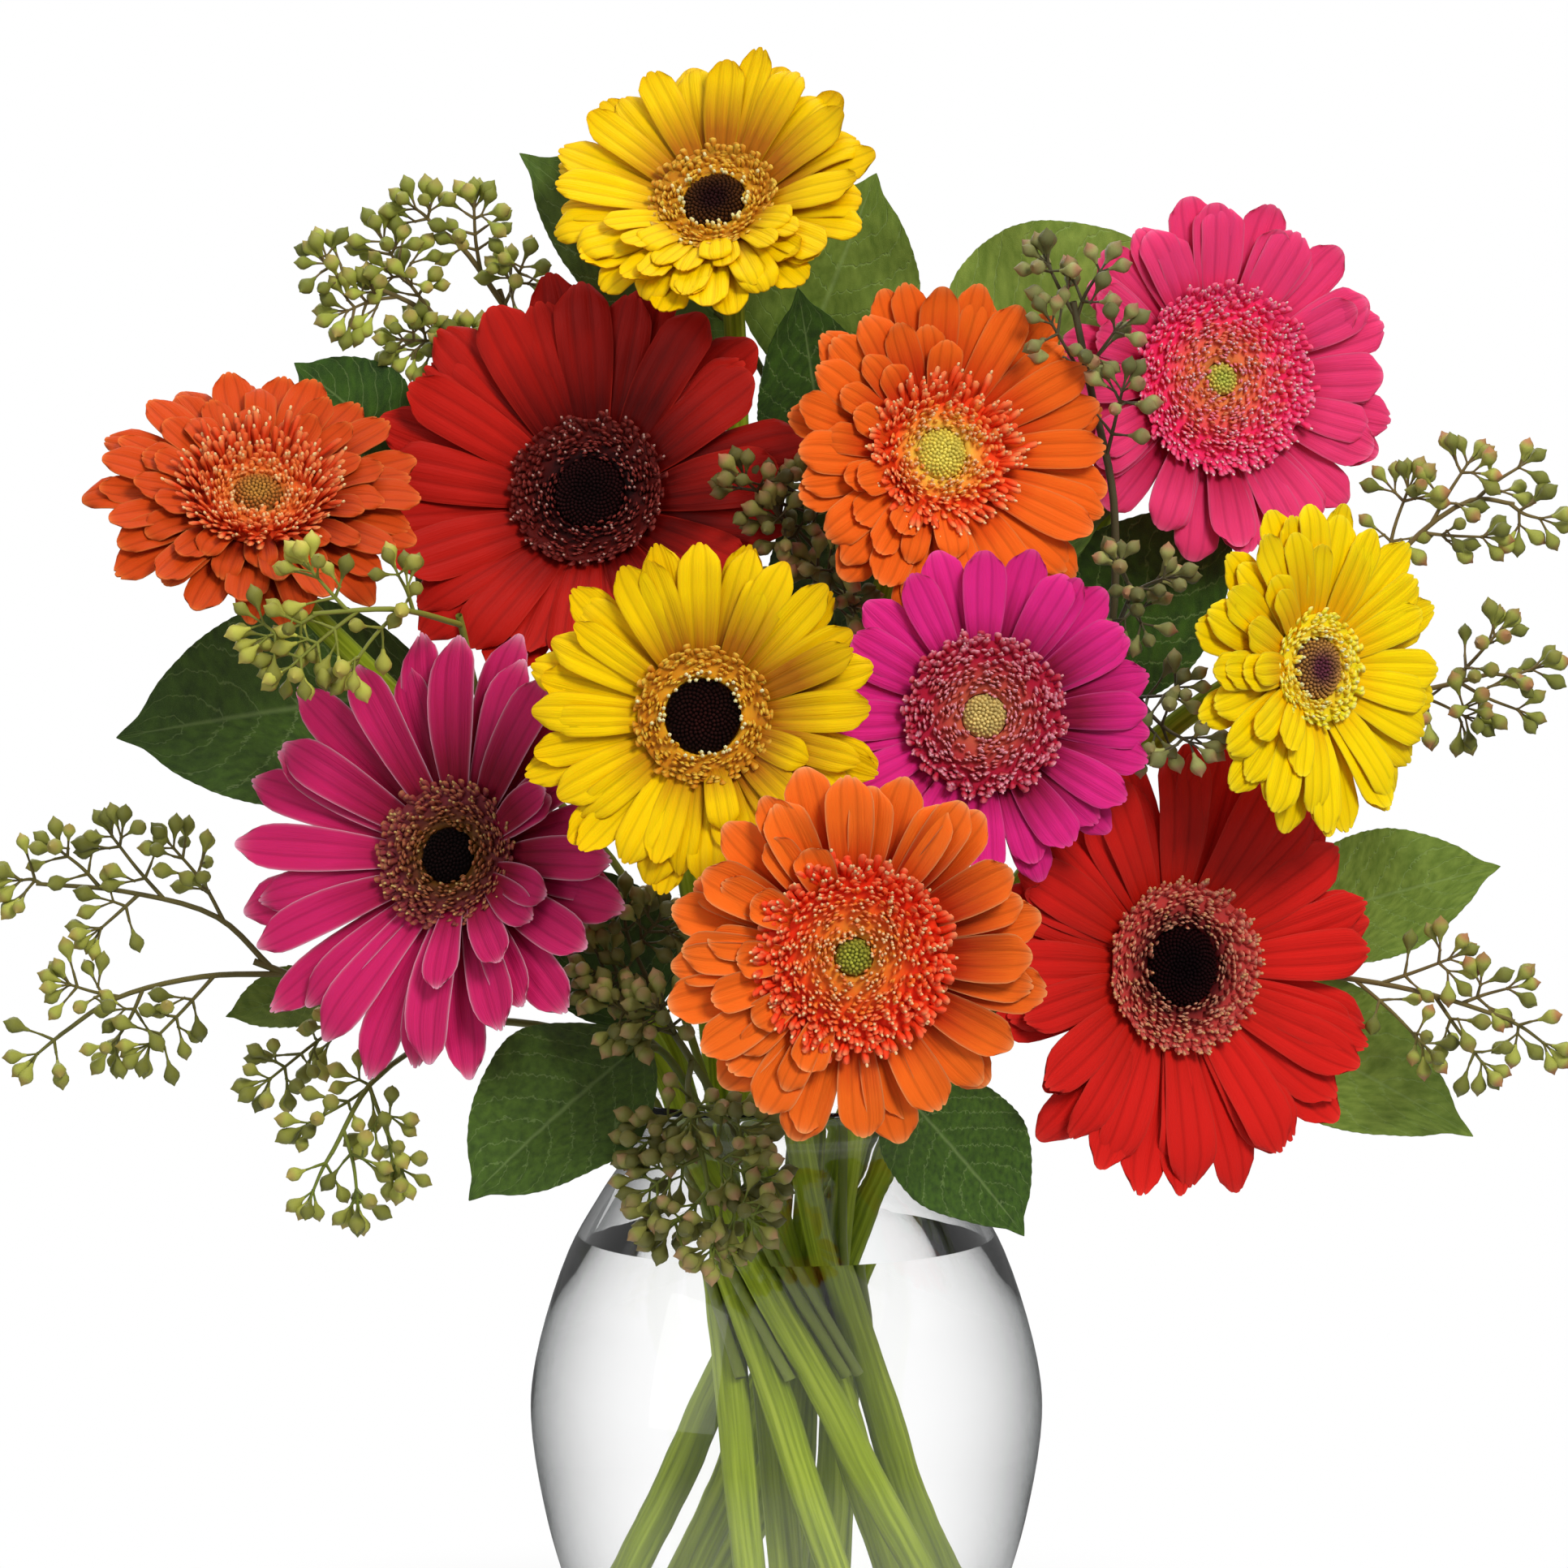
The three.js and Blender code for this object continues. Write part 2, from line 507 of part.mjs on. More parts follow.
function floretRing(bloom, frame) {
  const count = 14;
  const base = 2 * LAYER_STEP + CORE_T / 2 + GAP;
  const inner = bloom.eye + GAP;
  const outer = bloom.ring;
  const slope = Math.tan(rad(bloom.cup + 20));
  const core = bloom.ring * 0.84 - 1.6;
  const under = (r) => base + Math.max(0, r - core) * slope;
  const points = [];
  const faces = [];
  const rows = 6;
  for (let k = 0; k < count; k += 1) {
    const high = k % 2;
    const a = 2 * Math.PI * k / count;
    const near = inner + (outer - inner) * 0.3;
    const far = inner + (outer - inner) * 0.68;
    const edge = outer * (high ? 0.95 : 1.02);
    const rings = [
      [inner, base],
      [inner, base + 2.2 + 0.7 * high],
      [near, Math.max(under(near), base + 1.6) + 1 + 1.4 * (1 - high)],
      [far, Math.max(under(far), base + 1.4) + 0.9 + 1.5 * high],
      [edge, under(edge) + 0.8 + 0.9 * (1 - high)],
      [edge, under(edge)],
    ];
    for (const [r, w] of rings) {
      points.push(place(frame, r * Math.cos(a), r * Math.sin(a), w));
    }
  }
  for (let k = 0; k < count; k += 1) {
    for (let j = 0; j < rows; j += 1) {
      const a = k * rows + j;
      const b = k * rows + (j + 1) % rows;
      const c = ((k + 1) % count) * rows + (j + 1) % rows;
      const d = ((k + 1) % count) * rows + j;
      faces.push([a, b, c], [a, c, d]);
    }
  }
  return body(points, faces);
}

// Eye or button: a low dome with a dent in the middle

function eyeDome(bloom, frame) {
  const count = 8;
  const base = 2 * LAYER_STEP + CORE_T / 2 + GAP;
  const rings = [[bloom.eye, base], [bloom.eye, base + 1.6], [bloom.eye * 0.6, base + 3]];
  const points = [place(frame, 0, 0, base), place(frame, 0, 0, base + 2.4)];
  const faces = [];
  for (const [r, w] of rings) {
    for (let k = 0; k < count; k += 1) {
      const a = 2 * Math.PI * (k + 0.5) / count;
      points.push(place(frame, r * Math.cos(a), r * Math.sin(a), w));
    }
  }
  for (let k = 0; k < count; k += 1) {
    const n = (k + 1) % count;
    faces.push([0, 2 + n, 2 + k]);
    for (let j = 0; j < 2; j += 1) {
      const a = 2 + j * count + k;
      const b = 2 + j * count + n;
      faces.push([a, b, b + count], [a, b + count, a + count]);
    }
    faces.push([1, 2 + 2 * count + k, 2 + 2 * count + n]);
  }
  return body(points, faces);
}

// Gerbera stem with the green cup under its bloom

function gerberaStem(bloom, frame, spot) {
  const run = gerberaRun(spot, frame);
  const radii = run.map((point, i) => STEM_R - STEM_TAPER * Math.max(0, i - 3) / (run.length - 4));
  const cup = bloom.ring * 0.78;
  const back = -CORE_T / 2 - GAP;
  for (const [w, r] of [[-8, 0.55], [-4, 0.92], [back, 1]]) {
    run.push(place(frame, 0, 0, w));
    radii.push(cup * r);
  }
  return bar(run, radii, 6);
}

// Leaf: a waved, toothed blade with the same triangles on both faces

function leafFrame(leaf) {
  const base = vec(leaf.base);
  const long = vec(leaf.tip).sub(base);
  const length = long.length();
  long.normalize();
  const face = vec(leaf.face);
  face.addScaledVector(long, -face.dot(long)).normalize();
  const arch = (t) => -0.06 * length * (2 * t - 1) * (2 * t - 1);
  return { base, long, length, face, side: long.clone().cross(face), arch };
}

function blade(leaf) {
  const { base, long, length, face, side, arch } = leafFrame(leaf);
  const widths = [[0, 0.03], [0.15, 0.66], [0.38, 1], [0.62, 0.9], [0.84, 0.46]];
  const points = [];
  const faces = [];
  const put = (t, off, lift, top) => {
    const point = base.clone().addScaledVector(long, length * t);
    point.addScaledVector(side, off);
    point.addScaledVector(face, lift + top * LEAF_T / 2);
    return points.push(point) - 1;
  };
  const rows = widths.map(([t, w], i) => {
    const half = leaf.wide / 2 * w;
    const wave = leaf.wave * (i % 2 ? 1 : -1) * w;
    return [1, -1].map((top) => [
      put(t, -half, arch(t) + wave + half * 0.12, top),
      put(t, 0, arch(t) - half * 0.08, top),
      put(t, half, arch(t) - wave + half * 0.12, top),
    ]);
  });
  const end = [1, -1].map((top) => put(1, 0, arch(1), top));
  for (let i = 0; i < rows.length - 1; i += 1) {
    for (let j = 0; j < 2; j += 1) {
      const [a, b] = [rows[i], rows[i + 1]];
      faces.push([a[0][j], a[0][j + 1], b[0][j + 1]], [a[0][j], b[0][j + 1], b[0][j]]);
      faces.push([a[1][j], b[1][j + 1], a[1][j + 1]], [a[1][j], b[1][j], b[1][j + 1]]);
    }
  }
  const last = rows[rows.length - 1];
  for (let j = 0; j < 2; j += 1) {
    faces.push([last[0][j], last[0][j + 1], end[0]], [last[1][j], end[1], last[1][j + 1]]);
  }
  const first = rows[0];
  for (let j = 0; j < 2; j += 1) {
    faces.push([first[0][j + 1], first[0][j], first[1][j]], [first[0][j + 1], first[1][j], first[1][j + 1]]);
  }
  const rim = [...rows.map((row) => [row[0][0], row[1][0]]), [end[0], end[1]]];
  const other = [...rows.map((row) => [row[0][2], row[1][2]]), [end[0], end[1]]];
  for (let i = 0; i < rim.length - 1; i += 1) {
    faces.push([rim[i][0], rim[i + 1][0], rim[i + 1][1]], [rim[i][0], rim[i + 1][1], rim[i][1]]);
    faces.push([other[i][0], other[i + 1][1], other[i + 1][0]], [other[i][0], other[i][1], other[i + 1][1]]);
  }
  return body(points, faces);
}

// Leafy stem: woody run, a stalk for each leaf, and the blades

function nearest(run, point) {
  return run.reduce((best, p) => (p.distanceTo(point) < best.distanceTo(point) ? p : best));
}

function leafyStem(plant, spot) {
  const run = woodyRun(spot, plant.run);
  const pieces = [bar(run, run.map((point, i) => TWIG_R * (1.15 - 0.3 * i / run.length)), 4)];
  for (const leaf of plant.leaves) {
    const { base, long, length, face, arch } = leafFrame(leaf);
    const on = (t) => base.clone().addScaledVector(long, length * t).addScaledVector(face, arch(t));
    const root = nearest(run.slice(3), on(0));
    pieces.push(bar([root, on(0.05)], [1, 0.9], 4));
    pieces.push(blade(leaf));
  }
  return join(pieces);
}

// Eucalyptus: a three-sided twig that swells into a bud at its end, with a side bud on some

const BUD = [[3.4, 0.5], [6.2, 2.3]];
const BUD_LONG = 9.2;

function grow(points, faces, loop, way, stages) {
  const heart = new THREE.Vector3();
  loop.forEach((i) => heart.addScaledVector(points[i], 1 / loop.length));
  const spokes = loop.map((i) => {
    const spoke = points[i].clone().sub(heart);
    return spoke.addScaledVector(way, -spoke.dot(way)).normalize();
  });
  let ring = loop;
  for (const [far, r] of stages) {
    const next = spokes.map((spoke) => {
      const corner = heart.clone().addScaledVector(way, far).addScaledVector(spoke, r);
      return points.push(corner) - 1;
    });
    ring.forEach((a, i) => {
      const j = (i + 1) % ring.length;
      faces.push([a, ring[j], next[j]], [a, next[j], next[i]]);
    });
    ring = next;
  }
  return { ring, heart };
}

function bud(points, faces, loop, way) {
  const { ring, heart } = grow(points, faces, loop, way, BUD);
  const tip = points.push(heart.clone().addScaledVector(way, BUD_LONG)) - 1;
  ring.forEach((a, i) => faces.push([a, ring[(i + 1) % ring.length], tip]));
}

function buddedTwig(root, end, random) {
  const points = [];
  const faces = [];
  const along = end.clone().sub(root).normalize();
  const across = new THREE.Vector3(0.3, -0.8, 0.4).cross(along).normalize();
  across.applyAxisAngle(along, random() * 2);
  const ring = [0, 1, 2].map((k) => {
    const spoke = across.clone().applyAxisAngle(along, 2 * Math.PI * k / 3);
    return points.push(root.clone().addScaledVector(spoke, 0.7)) - 1;
  });
  faces.push([ring[0], ring[2], ring[1]]);
  const low = grow(points, faces, ring, along, [[root.distanceTo(end), 0.6]]).ring;
  if (random() < 0.5) {
    bud(points, faces, low, along);
    return body(points, faces);
  }
  const high = low.map((i) => points.push(points[i].clone().addScaledVector(along, 1.1)) - 1);
  faces.push([low[2], low[0], high[0]], [low[2], high[0], high[2]]);
  faces.push([low[1], low[2], high[2]], [low[1], high[2], high[1]]);
  bud(points, faces, high, along);
  const out = points[low[0]].clone().add(points[low[1]]).multiplyScalar(0.5).sub(end).normalize();
  bud(points, faces, [low[0], low[1], high[1], high[0]], out.multiplyScalar(1.2).add(along).normalize());
  return body(points, faces);
}

// Place at a share of the way along a run of points
function onRun(run, share) {
  const steps = run.slice(1).map((point, i) => point.distanceTo(run[i]));
  let left = share * steps.reduce((sum, step) => sum + step);
  let i = 0;
  while (left > steps[i]) {
    left -= steps[i];
    i += 1;
  }
  return run[i].clone().addScaledVector(run[i + 1].clone().sub(run[i]).normalize(), left);
}

function spray(plant, spot) {
  const run = woodyRun(spot, plant.run);
  const random = seeded(seedOf(plant.id));
  const pieces = [bar(run, run.map((point, i) => TWIG_R * (1.1 - 0.3 * i / run.length)), 4)];
  const limbs = [run.slice(3)];
  for (const [share, ...through] of plant.limbs) {
    const limb = [onRun(limbs[0], share), ...through.map(vec)];
    limbs.push(limb);
    pieces.push(bar(limb, limb.map(() => 0.8), 3));
  }
  for (const [limb, share, tip] of plant.twigs) {
    pieces.push(buddedTwig(onRun(limbs[limb], share), vec(tip), random));
  }
  return join(pieces);
}

// Vase and water

function vaseGlass() {
  return fromGeometry(turned([[0, 0], ...GLASS_OUT, ...GLASS_IN, [0, FLOOR_Z]]));
}

function waterBody(stems) {
  const inside = GLASS_IN.filter(([r, z]) => z < WATER_Z).map(([r, z]) => [r - GAP, z]).reverse();
  inside[0][1] = FLOOR_Z + GAP;
  const profile = [[0, FLOOR_Z + GAP], ...inside, [54.6, WATER_Z], [0, WATER_Z]];
  let water = fromGeometry(turned(profile));
  for (const stem of stems) {
    const [foot, bend] = lowerRun(stem.spot, stem.bloom ? 1 : WOODY_DEPTH);
    const ahead = bend.clone().sub(foot).normalize();
    const low = foot.clone().addScaledVector(ahead, -GAP);
    const high = bend.clone().addScaledVector(ahead, 6);
    const hole = stem.bloom ? STEM_R + 1.3 * GAP : 1.15 * TWIG_R + 2 * GAP;
    water = water.subtract(bar([low, high], [hole, hole], stem.bloom ? 6 : 4));
  }
  return largest(water);
}

// Assembly

const stems = [];
for (const bloom of BLOOMS) {
  const frame = bloomFrame(bloom);
  stems.push({ id: bloom.id, r: STEM_R, aim: place(frame, 0, 0, -50), bloom, frame });
}
for (const plant of [...LEAFY, ...SPRAYS]) {
  stems.push({ id: plant.id, r: TWIG_R, aim: vec(plant.run[0]), plant });
}
neckSpots(stems).forEach((spot, i) => {
  stems[i].spot = spot;
});

const group = new THREE.Group();
group.name = 'gerberas_in_a_vase';

function addNode(name, solid, color, settings = {}) {
  const material = new THREE.MeshStandardMaterial({ color, roughness: 0.6, ...settings });
  material.name = name;
  const mesh = new THREE.Mesh(toGeometry(solid), material);
  mesh.name = name;
  group.add(mesh);
}

const clear = { transparent: true, opacity: 0.35, roughness: 0.05 };
addNode('vase', vaseGlass(), 0xe6eef0, clear);
addNode('water', waterBody(stems), 0xdfeaec, clear);
for (const stem of stems) {
  if (stem.bloom) {
    addNode(`stem_${stem.id}`, gerberaStem(stem.bloom, stem.frame, stem.spot), 0x6e8a22);
    addNode(`petals_${stem.id}`, petals(stem.bloom, stem.frame), stem.bloom.petal);
    addNode(`florets_${stem.id}`, floretRing(stem.bloom, stem.frame), stem.bloom.floret);
    addNode(`eye_${stem.id}`, eyeDome(stem.bloom, stem.frame), stem.bloom.button);
  } else if (stem.plant.leaves) {
    addNode(stem.id, leafyStem(stem.plant, stem.spot), 0x3a5a28);
  } else {
    addNode(stem.id, spray(stem.plant, stem.spot), stem.plant.tint);
  }
}

export default group;
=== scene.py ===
import math

import bpy
import numpy as np
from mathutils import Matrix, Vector


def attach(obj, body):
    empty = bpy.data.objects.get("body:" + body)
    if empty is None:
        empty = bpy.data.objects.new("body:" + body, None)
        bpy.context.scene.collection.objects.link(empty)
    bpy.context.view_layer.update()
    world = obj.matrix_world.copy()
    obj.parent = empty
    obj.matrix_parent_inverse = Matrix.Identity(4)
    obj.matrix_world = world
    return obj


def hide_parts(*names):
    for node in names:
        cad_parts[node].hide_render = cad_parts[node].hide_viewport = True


# Eleven cut gerberas with seeded eucalyptus and broad leaves in a clear glass vase.
# Lengths are millimetres in the tables and metres in the meshes, +Z up, the viewer at -Y.

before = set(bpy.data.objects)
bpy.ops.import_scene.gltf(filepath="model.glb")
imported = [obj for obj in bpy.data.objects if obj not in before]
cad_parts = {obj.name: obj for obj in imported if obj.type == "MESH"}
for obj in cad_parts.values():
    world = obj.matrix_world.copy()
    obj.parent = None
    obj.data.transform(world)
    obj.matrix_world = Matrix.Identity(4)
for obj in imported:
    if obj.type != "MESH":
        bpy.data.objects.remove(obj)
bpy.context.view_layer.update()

MM = 0.001

# Camera: the photograph's scale at the vase's middle, its distance and its height
PHOTO_SIDE = 1932
MM_PER_PIXEL = 0.2237
CAMERA_FAR = 1600
CAMERA_ABOVE = 4
CAMERA_AIM = (-0.67, 0, 275.9)

# Vase, water and stems, as in the part's source
GLASS_OUT = [
    (44.5, 0), (47, 2.5), (51.5, 22), (59.5, 48), (66.5, 72), (70.9, 100), (69.6, 116),
    (60.5, 146), (51, 163), (44.6, 173.5), (44.4, 180), (50, 188.5), (50.3, 190),
]
GLASS_IN = [
    (48.6, 190), (41.6, 180), (41.6, 173.5), (47.8, 163), (57.3, 146), (66.4, 116),
    (67.7, 100), (63.3, 72), (56.2, 48), (48, 22), (42, 8),
]
WATER_Z = 150
FOOT_Z = 40
BEND_Z = 153
NECK_Z = 188
NECK_REACH = 37.5
FOCUS_Z = 146
BEND_SCALE = 0.6
FOOT_SCALE = 1.36
BEND_TURN = 20
FOOT_TURN = 130
BEND_HANDLE = 9
CROSS_SCALE = 0.46
SPREAD = 1.5
STEM_CLEAR = 0.8
STEM_R = 3.8
STEM_TAPER = 1
WOODY_DEPTH = 0.36
TWIG_R = 1.2

# Points on the straight run in the water of a gerbera's stem and of a woody one, and steps of
# a stem's bend and of each stretch above the neck
STEM_STEPS = 12
WOODY_STEPS = 10
BEND_STEPS = 5
RUN_STEPS = 8

# Between these heights the gerbera stems lose the painted light that brightens them in the
# water, the woody stems turn from wet to dry, and the glass from grey to clear
WET_Z = 170
DRY_Z = 220
WET_BARK = "#7c8a34"

# Blooms: the solids' layers of petals as (degrees steeper, share of the reach, share of the
# width) and their rise from one to the next, the petals' root as a share of the ring's radius,
# the level of the ring's and the eye's foot, and of the stem's end
LAYERS = ((0, 1, 1), (6, 0.94, 1), (17, 0.66, 0.8))
LAYER_STEP = 1.3
PETAL_ROOT = 0.84
HEART = 2 * LAYER_STEP + 0.8
STEM_END = -11

# Square millimetres to a floret and to a bud of the eye, and the turn from one to the next
FLORET_AREA = 1.6
BUD_AREA = 1.15
GOLDEN_ANGLE = 2.39996

# What a mesh and its finish share: a petal's two grooves, a third of its width from its edges,
# and a leaf's side veins, how far they slant and how they curve
GROOVE_WAVE = 1.5 * math.pi
SIDE_VEINS = 8.5
VEIN_SLANT = 0.3
VEIN_CURVE = 1.25

# Studio: the strength of room and floor on what they light and on what mirrors them, of a
# ray that was mirrored inside the glass, and of white that is seen through glass, then the
# lamps as (name, place and width in metres, power)
ROOM_STRENGTH = (0.42, 0.2)
FLOOR_STRENGTH = (0.3, 0.15)
INSIDE_GLASS = 0.5
THROUGH_GLASS = 1.12
LAMPS = (
    ("key", (0.8, -1.5, 1.4), 0.6, 28), ("fill", (-1.5, -1.4, 0.6), 1.2, 6),
    ("top", (0.1, 0.2, 1.7), 1.2, 8), ("back", (-0.6, 1.5, 1.1), 1.2, 8),
)

# Blooms. From the part's source:
# at: the middle, turn and tip: degrees that it faces aside and up, reach, ring and eye: the
# radii of petals, florets and eye, cup: degrees that the petals rise, counts: petals in each
# layer, wide: a petal's width, short_at and short_by: the side on which petals are shorter and
# by what share, inner: the side with short inner petals and how far they go round from it
# For the finer pieces:
# rows: further petals between its layers, as (how many, share of the reach, cup, width, level)
# slim: a petal's width against its solid's, point: how blunt it ends, from 0 to 1
# roll: how far a petal's edges rise, droop: how far its tip falls, groove: how deep its two
# grooves are, shade_and_tone: the side on which painted shade reaches furthest, as the petals'
# deeper root colour and a darker tone
# tongue: the outer floret's length, pollen: the share of florets with a bead by the eye,
# midway and at the edge, and the bead's radius
# petal: root, blade and rim, the rim paler on most blooms and darker on yellow_top and
# yellow_mid as painted shade in the slits between petals; floret: inner, outer and tip; disc:
# heart and edge; bead: pollen
BLOOMS = [
    dict(id="yellow_top", at=(-18.8, -8, 433), turn=-13, tip=35, reach=46.6, ring=16.3, eye=8.6,
         cup=13, counts=(12, 12, 7), wide=11, point=0.85, short_at=270, short_by=0.16,
         inner=(270, 75),
         rows=((13, 0.99, 2, 1, 0.6), (14, 0.9, 7, 0.8, 1.95), (17, 0.76, 15, 0.7, 2.2)),
         roll=0.1, droop=0.05, groove=0.05, shade_and_tone=70, tongue=2.8, pollen=(0.8, 0.04, 0, 0.5),
         petal=("#b86c10", "#fccc00", "#eab40e"), floret=("#dc9a20", "#c4801c", "#f0c04a"),
         disc=("#2c1010", "#54300f"), bead="#f8e8a8"),
    dict(id="orange_left", at=(-142.1, -36, 353.6), turn=8, tip=43, reach=45.1, ring=18, eye=6.5,
         cup=3, counts=(11, 11, 10), wide=11, point=0.6, short_at=270, short_by=0.05,
         inner=(0, 180), rows=((13, 0.96, 3, 0.9, 0.7), (15, 0.8, 11, 0.8, 2)),
         roll=0.2, droop=0.05, groove=0.05, shade_and_tone=310, tongue=9, pollen=(0.4, 0.3, 0.3, 0.42),
         petal=("#8a200c", "#d04814", "#f07c38"), floret=("#ec8236", "#dc4218", "#fc9a5c"),
         disc=("#c88e3e", "#b8682c"), bead="#ffd49a"),
    dict(id="red_left", at=(-53.2, -2, 354.6), turn=-10, tip=20, reach=62.6, ring=20.5, eye=9.8,
         cup=19, counts=(12, 12, 8), wide=16, point=0.6, short_at=300, short_by=0.05,
         inner=(0, 0), rows=((10, 0.96, 3, 0.9, 0.7),),
         roll=-0.05, droop=0.05, groove=0.055, shade_and_tone=25, tongue=2.8, pollen=(0.05, 0.16, 0.3, 0.38),
         petal=("#620a08", "#b81c14", "#d63024"), floret=("#200507", "#56120f", "#8c3c36"),
         disc=("#1e0c0e", "#2c0f10"), bead="#c49a90"),
    dict(id="orange_mid", at=(40.3, -36, 366.4), turn=16, tip=11, reach=47.7, ring=17.5, eye=6.8,
         cup=12, counts=(12, 12, 10), wide=11.5, point=0.7, short_at=185, short_by=0.08,
         inner=(180, 100), rows=((12, 0.97, 3, 0.95, 0.7), (18, 0.8, 11, 0.8, 2)),
         roll=0.06, droop=0.05, groove=0.04, shade_and_tone=100, tongue=7.5, pollen=(0.6, 0.45, 0.45, 0.4),
         petal=("#d23410", "#f26418", "#fa9450"), floret=("#fcc048", "#ff4c1e", "#ffa468"),
         disc=("#f0e068", "#e4cc50"), bead="#ffd09a"),
    dict(id="pink_right", at=(118.3, 10, 387), turn=18, tip=3, reach=50.4, ring=24.5, eye=4.5,
         cup=15, counts=(12, 12, 8), wide=13, point=0.75, short_at=180, short_by=0,
         inner=(0, 0), rows=((12, 0.97, 4, 0.9, 0.7), (8, 0.9, 7, 0.85, 1.3)),
         roll=0.03, droop=0.04, groove=0.035, shade_and_tone=225, tongue=3.6, pollen=(0.3, 0.35, 0.3, 0.36),
         petal=("#bc2048", "#ec3c72", "#f6749c"), floret=("#ec8448", "#fa2e66", "#fa86a8"),
         disc=("#c8cc5c", "#dcc458"), bead="#fcced0"),
    dict(id="yellow_right", at=(137.9, -56, 310.5), turn=39, tip=3, reach=45.1, ring=14.5, eye=8.2,
         cup=4, counts=(12, 12, 7), wide=11, point=0.7, short_at=180, short_by=0.08,
         inner=(180, 90),
         rows=((13, 0.98, 3, 1, 0.7), (9, 0.92, 6, 0.9, 1.8), (12, 0.76, 11, 0.85, 2)),
         roll=0.05, droop=0.03, groove=0.04, shade_and_tone=110, tongue=2.4, pollen=(0.5, 0.05, 0, 0.4),
         petal=("#f4b000", "#ffd600", "#ffe430"), floret=("#f4c82c", "#fcdc1c", "#fff08c"),
         disc=("#6c3644", "#c89444"), bead="#f6ecb4"),
    dict(id="magenta_mid", at=(51.5, -76, 298.5), turn=3, tip=10, reach=44.7, ring=19.9, eye=5.8,
         cup=8, counts=(12, 12, 7), wide=11, point=0.6, short_at=200, short_by=0.04,
         inner=(0, 0), rows=((11, 0.96, 4, 0.9, 0.7),),
         roll=0.06, droop=0.04, groove=0.045, shade_and_tone=345, tongue=3.4, pollen=(0.3, 0.35, 0.3, 0.36),
         petal=("#8c1438", "#de2680", "#ec589c"), floret=("#c85a44", "#b41c38", "#f09cac"),
         disc=("#e6cc80", "#ccb068"), bead="#f4a8b0"),
    dict(id="yellow_mid", at=(-21.7, -94, 299.8), turn=1, tip=6, reach=46.7, ring=16.9, eye=9.7,
         cup=6, counts=(12, 12, 7), wide=11, point=0.6, short_at=270, short_by=0,
         inner=(300, 50),
         rows=((12, 0.98, 3, 0.9, 0.7), (9, 0.9, 7, 0.8, 1.8), (11, 0.84, 9, 0.9, 2)),
         roll=0.14, droop=0.05, groove=0.05, shade_and_tone=10, tongue=2.6, pollen=(0.8, 0.03, 0, 0.56),
         petal=("#b87010", "#fccc00", "#eeb80c"), floret=("#eca622", "#cc8218", "#f4c44c"),
         disc=("#2e100e", "#1a0a08"), bead="#fcf0b8"),
    dict(id="crimson_left", at=(-88.3, -50, 259.6), turn=-24, tip=13, reach=62.5, ring=18.7,
         eye=7.4, cup=9, counts=(12, 12, 7), wide=14, point=0.35, short_at=0, short_by=0.1,
         inner=(350, 70), rows=((9, 0.93, 4, 0.9, 0.7), (9, 0.7, 21, 0.8, 2.2)), slim=0.92,
         roll=0.22, droop=0.04, groove=0.03, shade_and_tone=60, tongue=3.2, pollen=(0.1, 0.2, 0.25, 0.36),
         petal=("#8c1230", "#d02466", "#ffc0d6"), floret=("#6a4014", "#843038", "#c07a52"),
         disc=("#1c0a0a", "#120606"), bead="#d8b070"),
    dict(id="orange_low", at=(17, -118, 240.2), turn=2, tip=1, reach=48.4, ring=22.7, eye=4.8,
         cup=6, counts=(12, 12, 11), wide=13, point=0.6, short_at=180, short_by=0.02,
         inner=(180, 80), rows=((11, 0.97, 3, 0.9, 0.7), (15, 0.82, 10, 0.76, 2)), slim=0.93,
         roll=0.42, droop=0.03, groove=0.01, shade_and_tone=10, tongue=5.8, pollen=(0.5, 0.35, 0.18, 0.42),
         petal=("#c03410", "#f86c1c", "#ffb070"), floret=("#f0902e", "#ff3c18", "#ff9060"),
         disc=("#aeae40", "#948c30"), bead="#ffd09c"),
    dict(id="red_right", at=(104, -44, 230), turn=27, tip=4, reach=61.7, ring=22, eye=10.7,
         cup=5, counts=(12, 12, 8), wide=14.5, point=0.45, short_at=180, short_by=0.04,
         inner=(0, 0), rows=((14, 0.97, 3, 0.95, 0.7), (10, 0.94, 5, 0.85, 1.2)),
         roll=0.06, droop=0.05, groove=0.045, shade_and_tone=120, tongue=2.8, pollen=(0.04, 0.14, 0.9, 0.42),
         petal=("#c01e14", "#d8201a", "#ea3a30"), floret=("#4e1012", "#c8423e", "#e4a080"),
         disc=("#14060a", "#280a0c"), bead="#e4a878"),
]
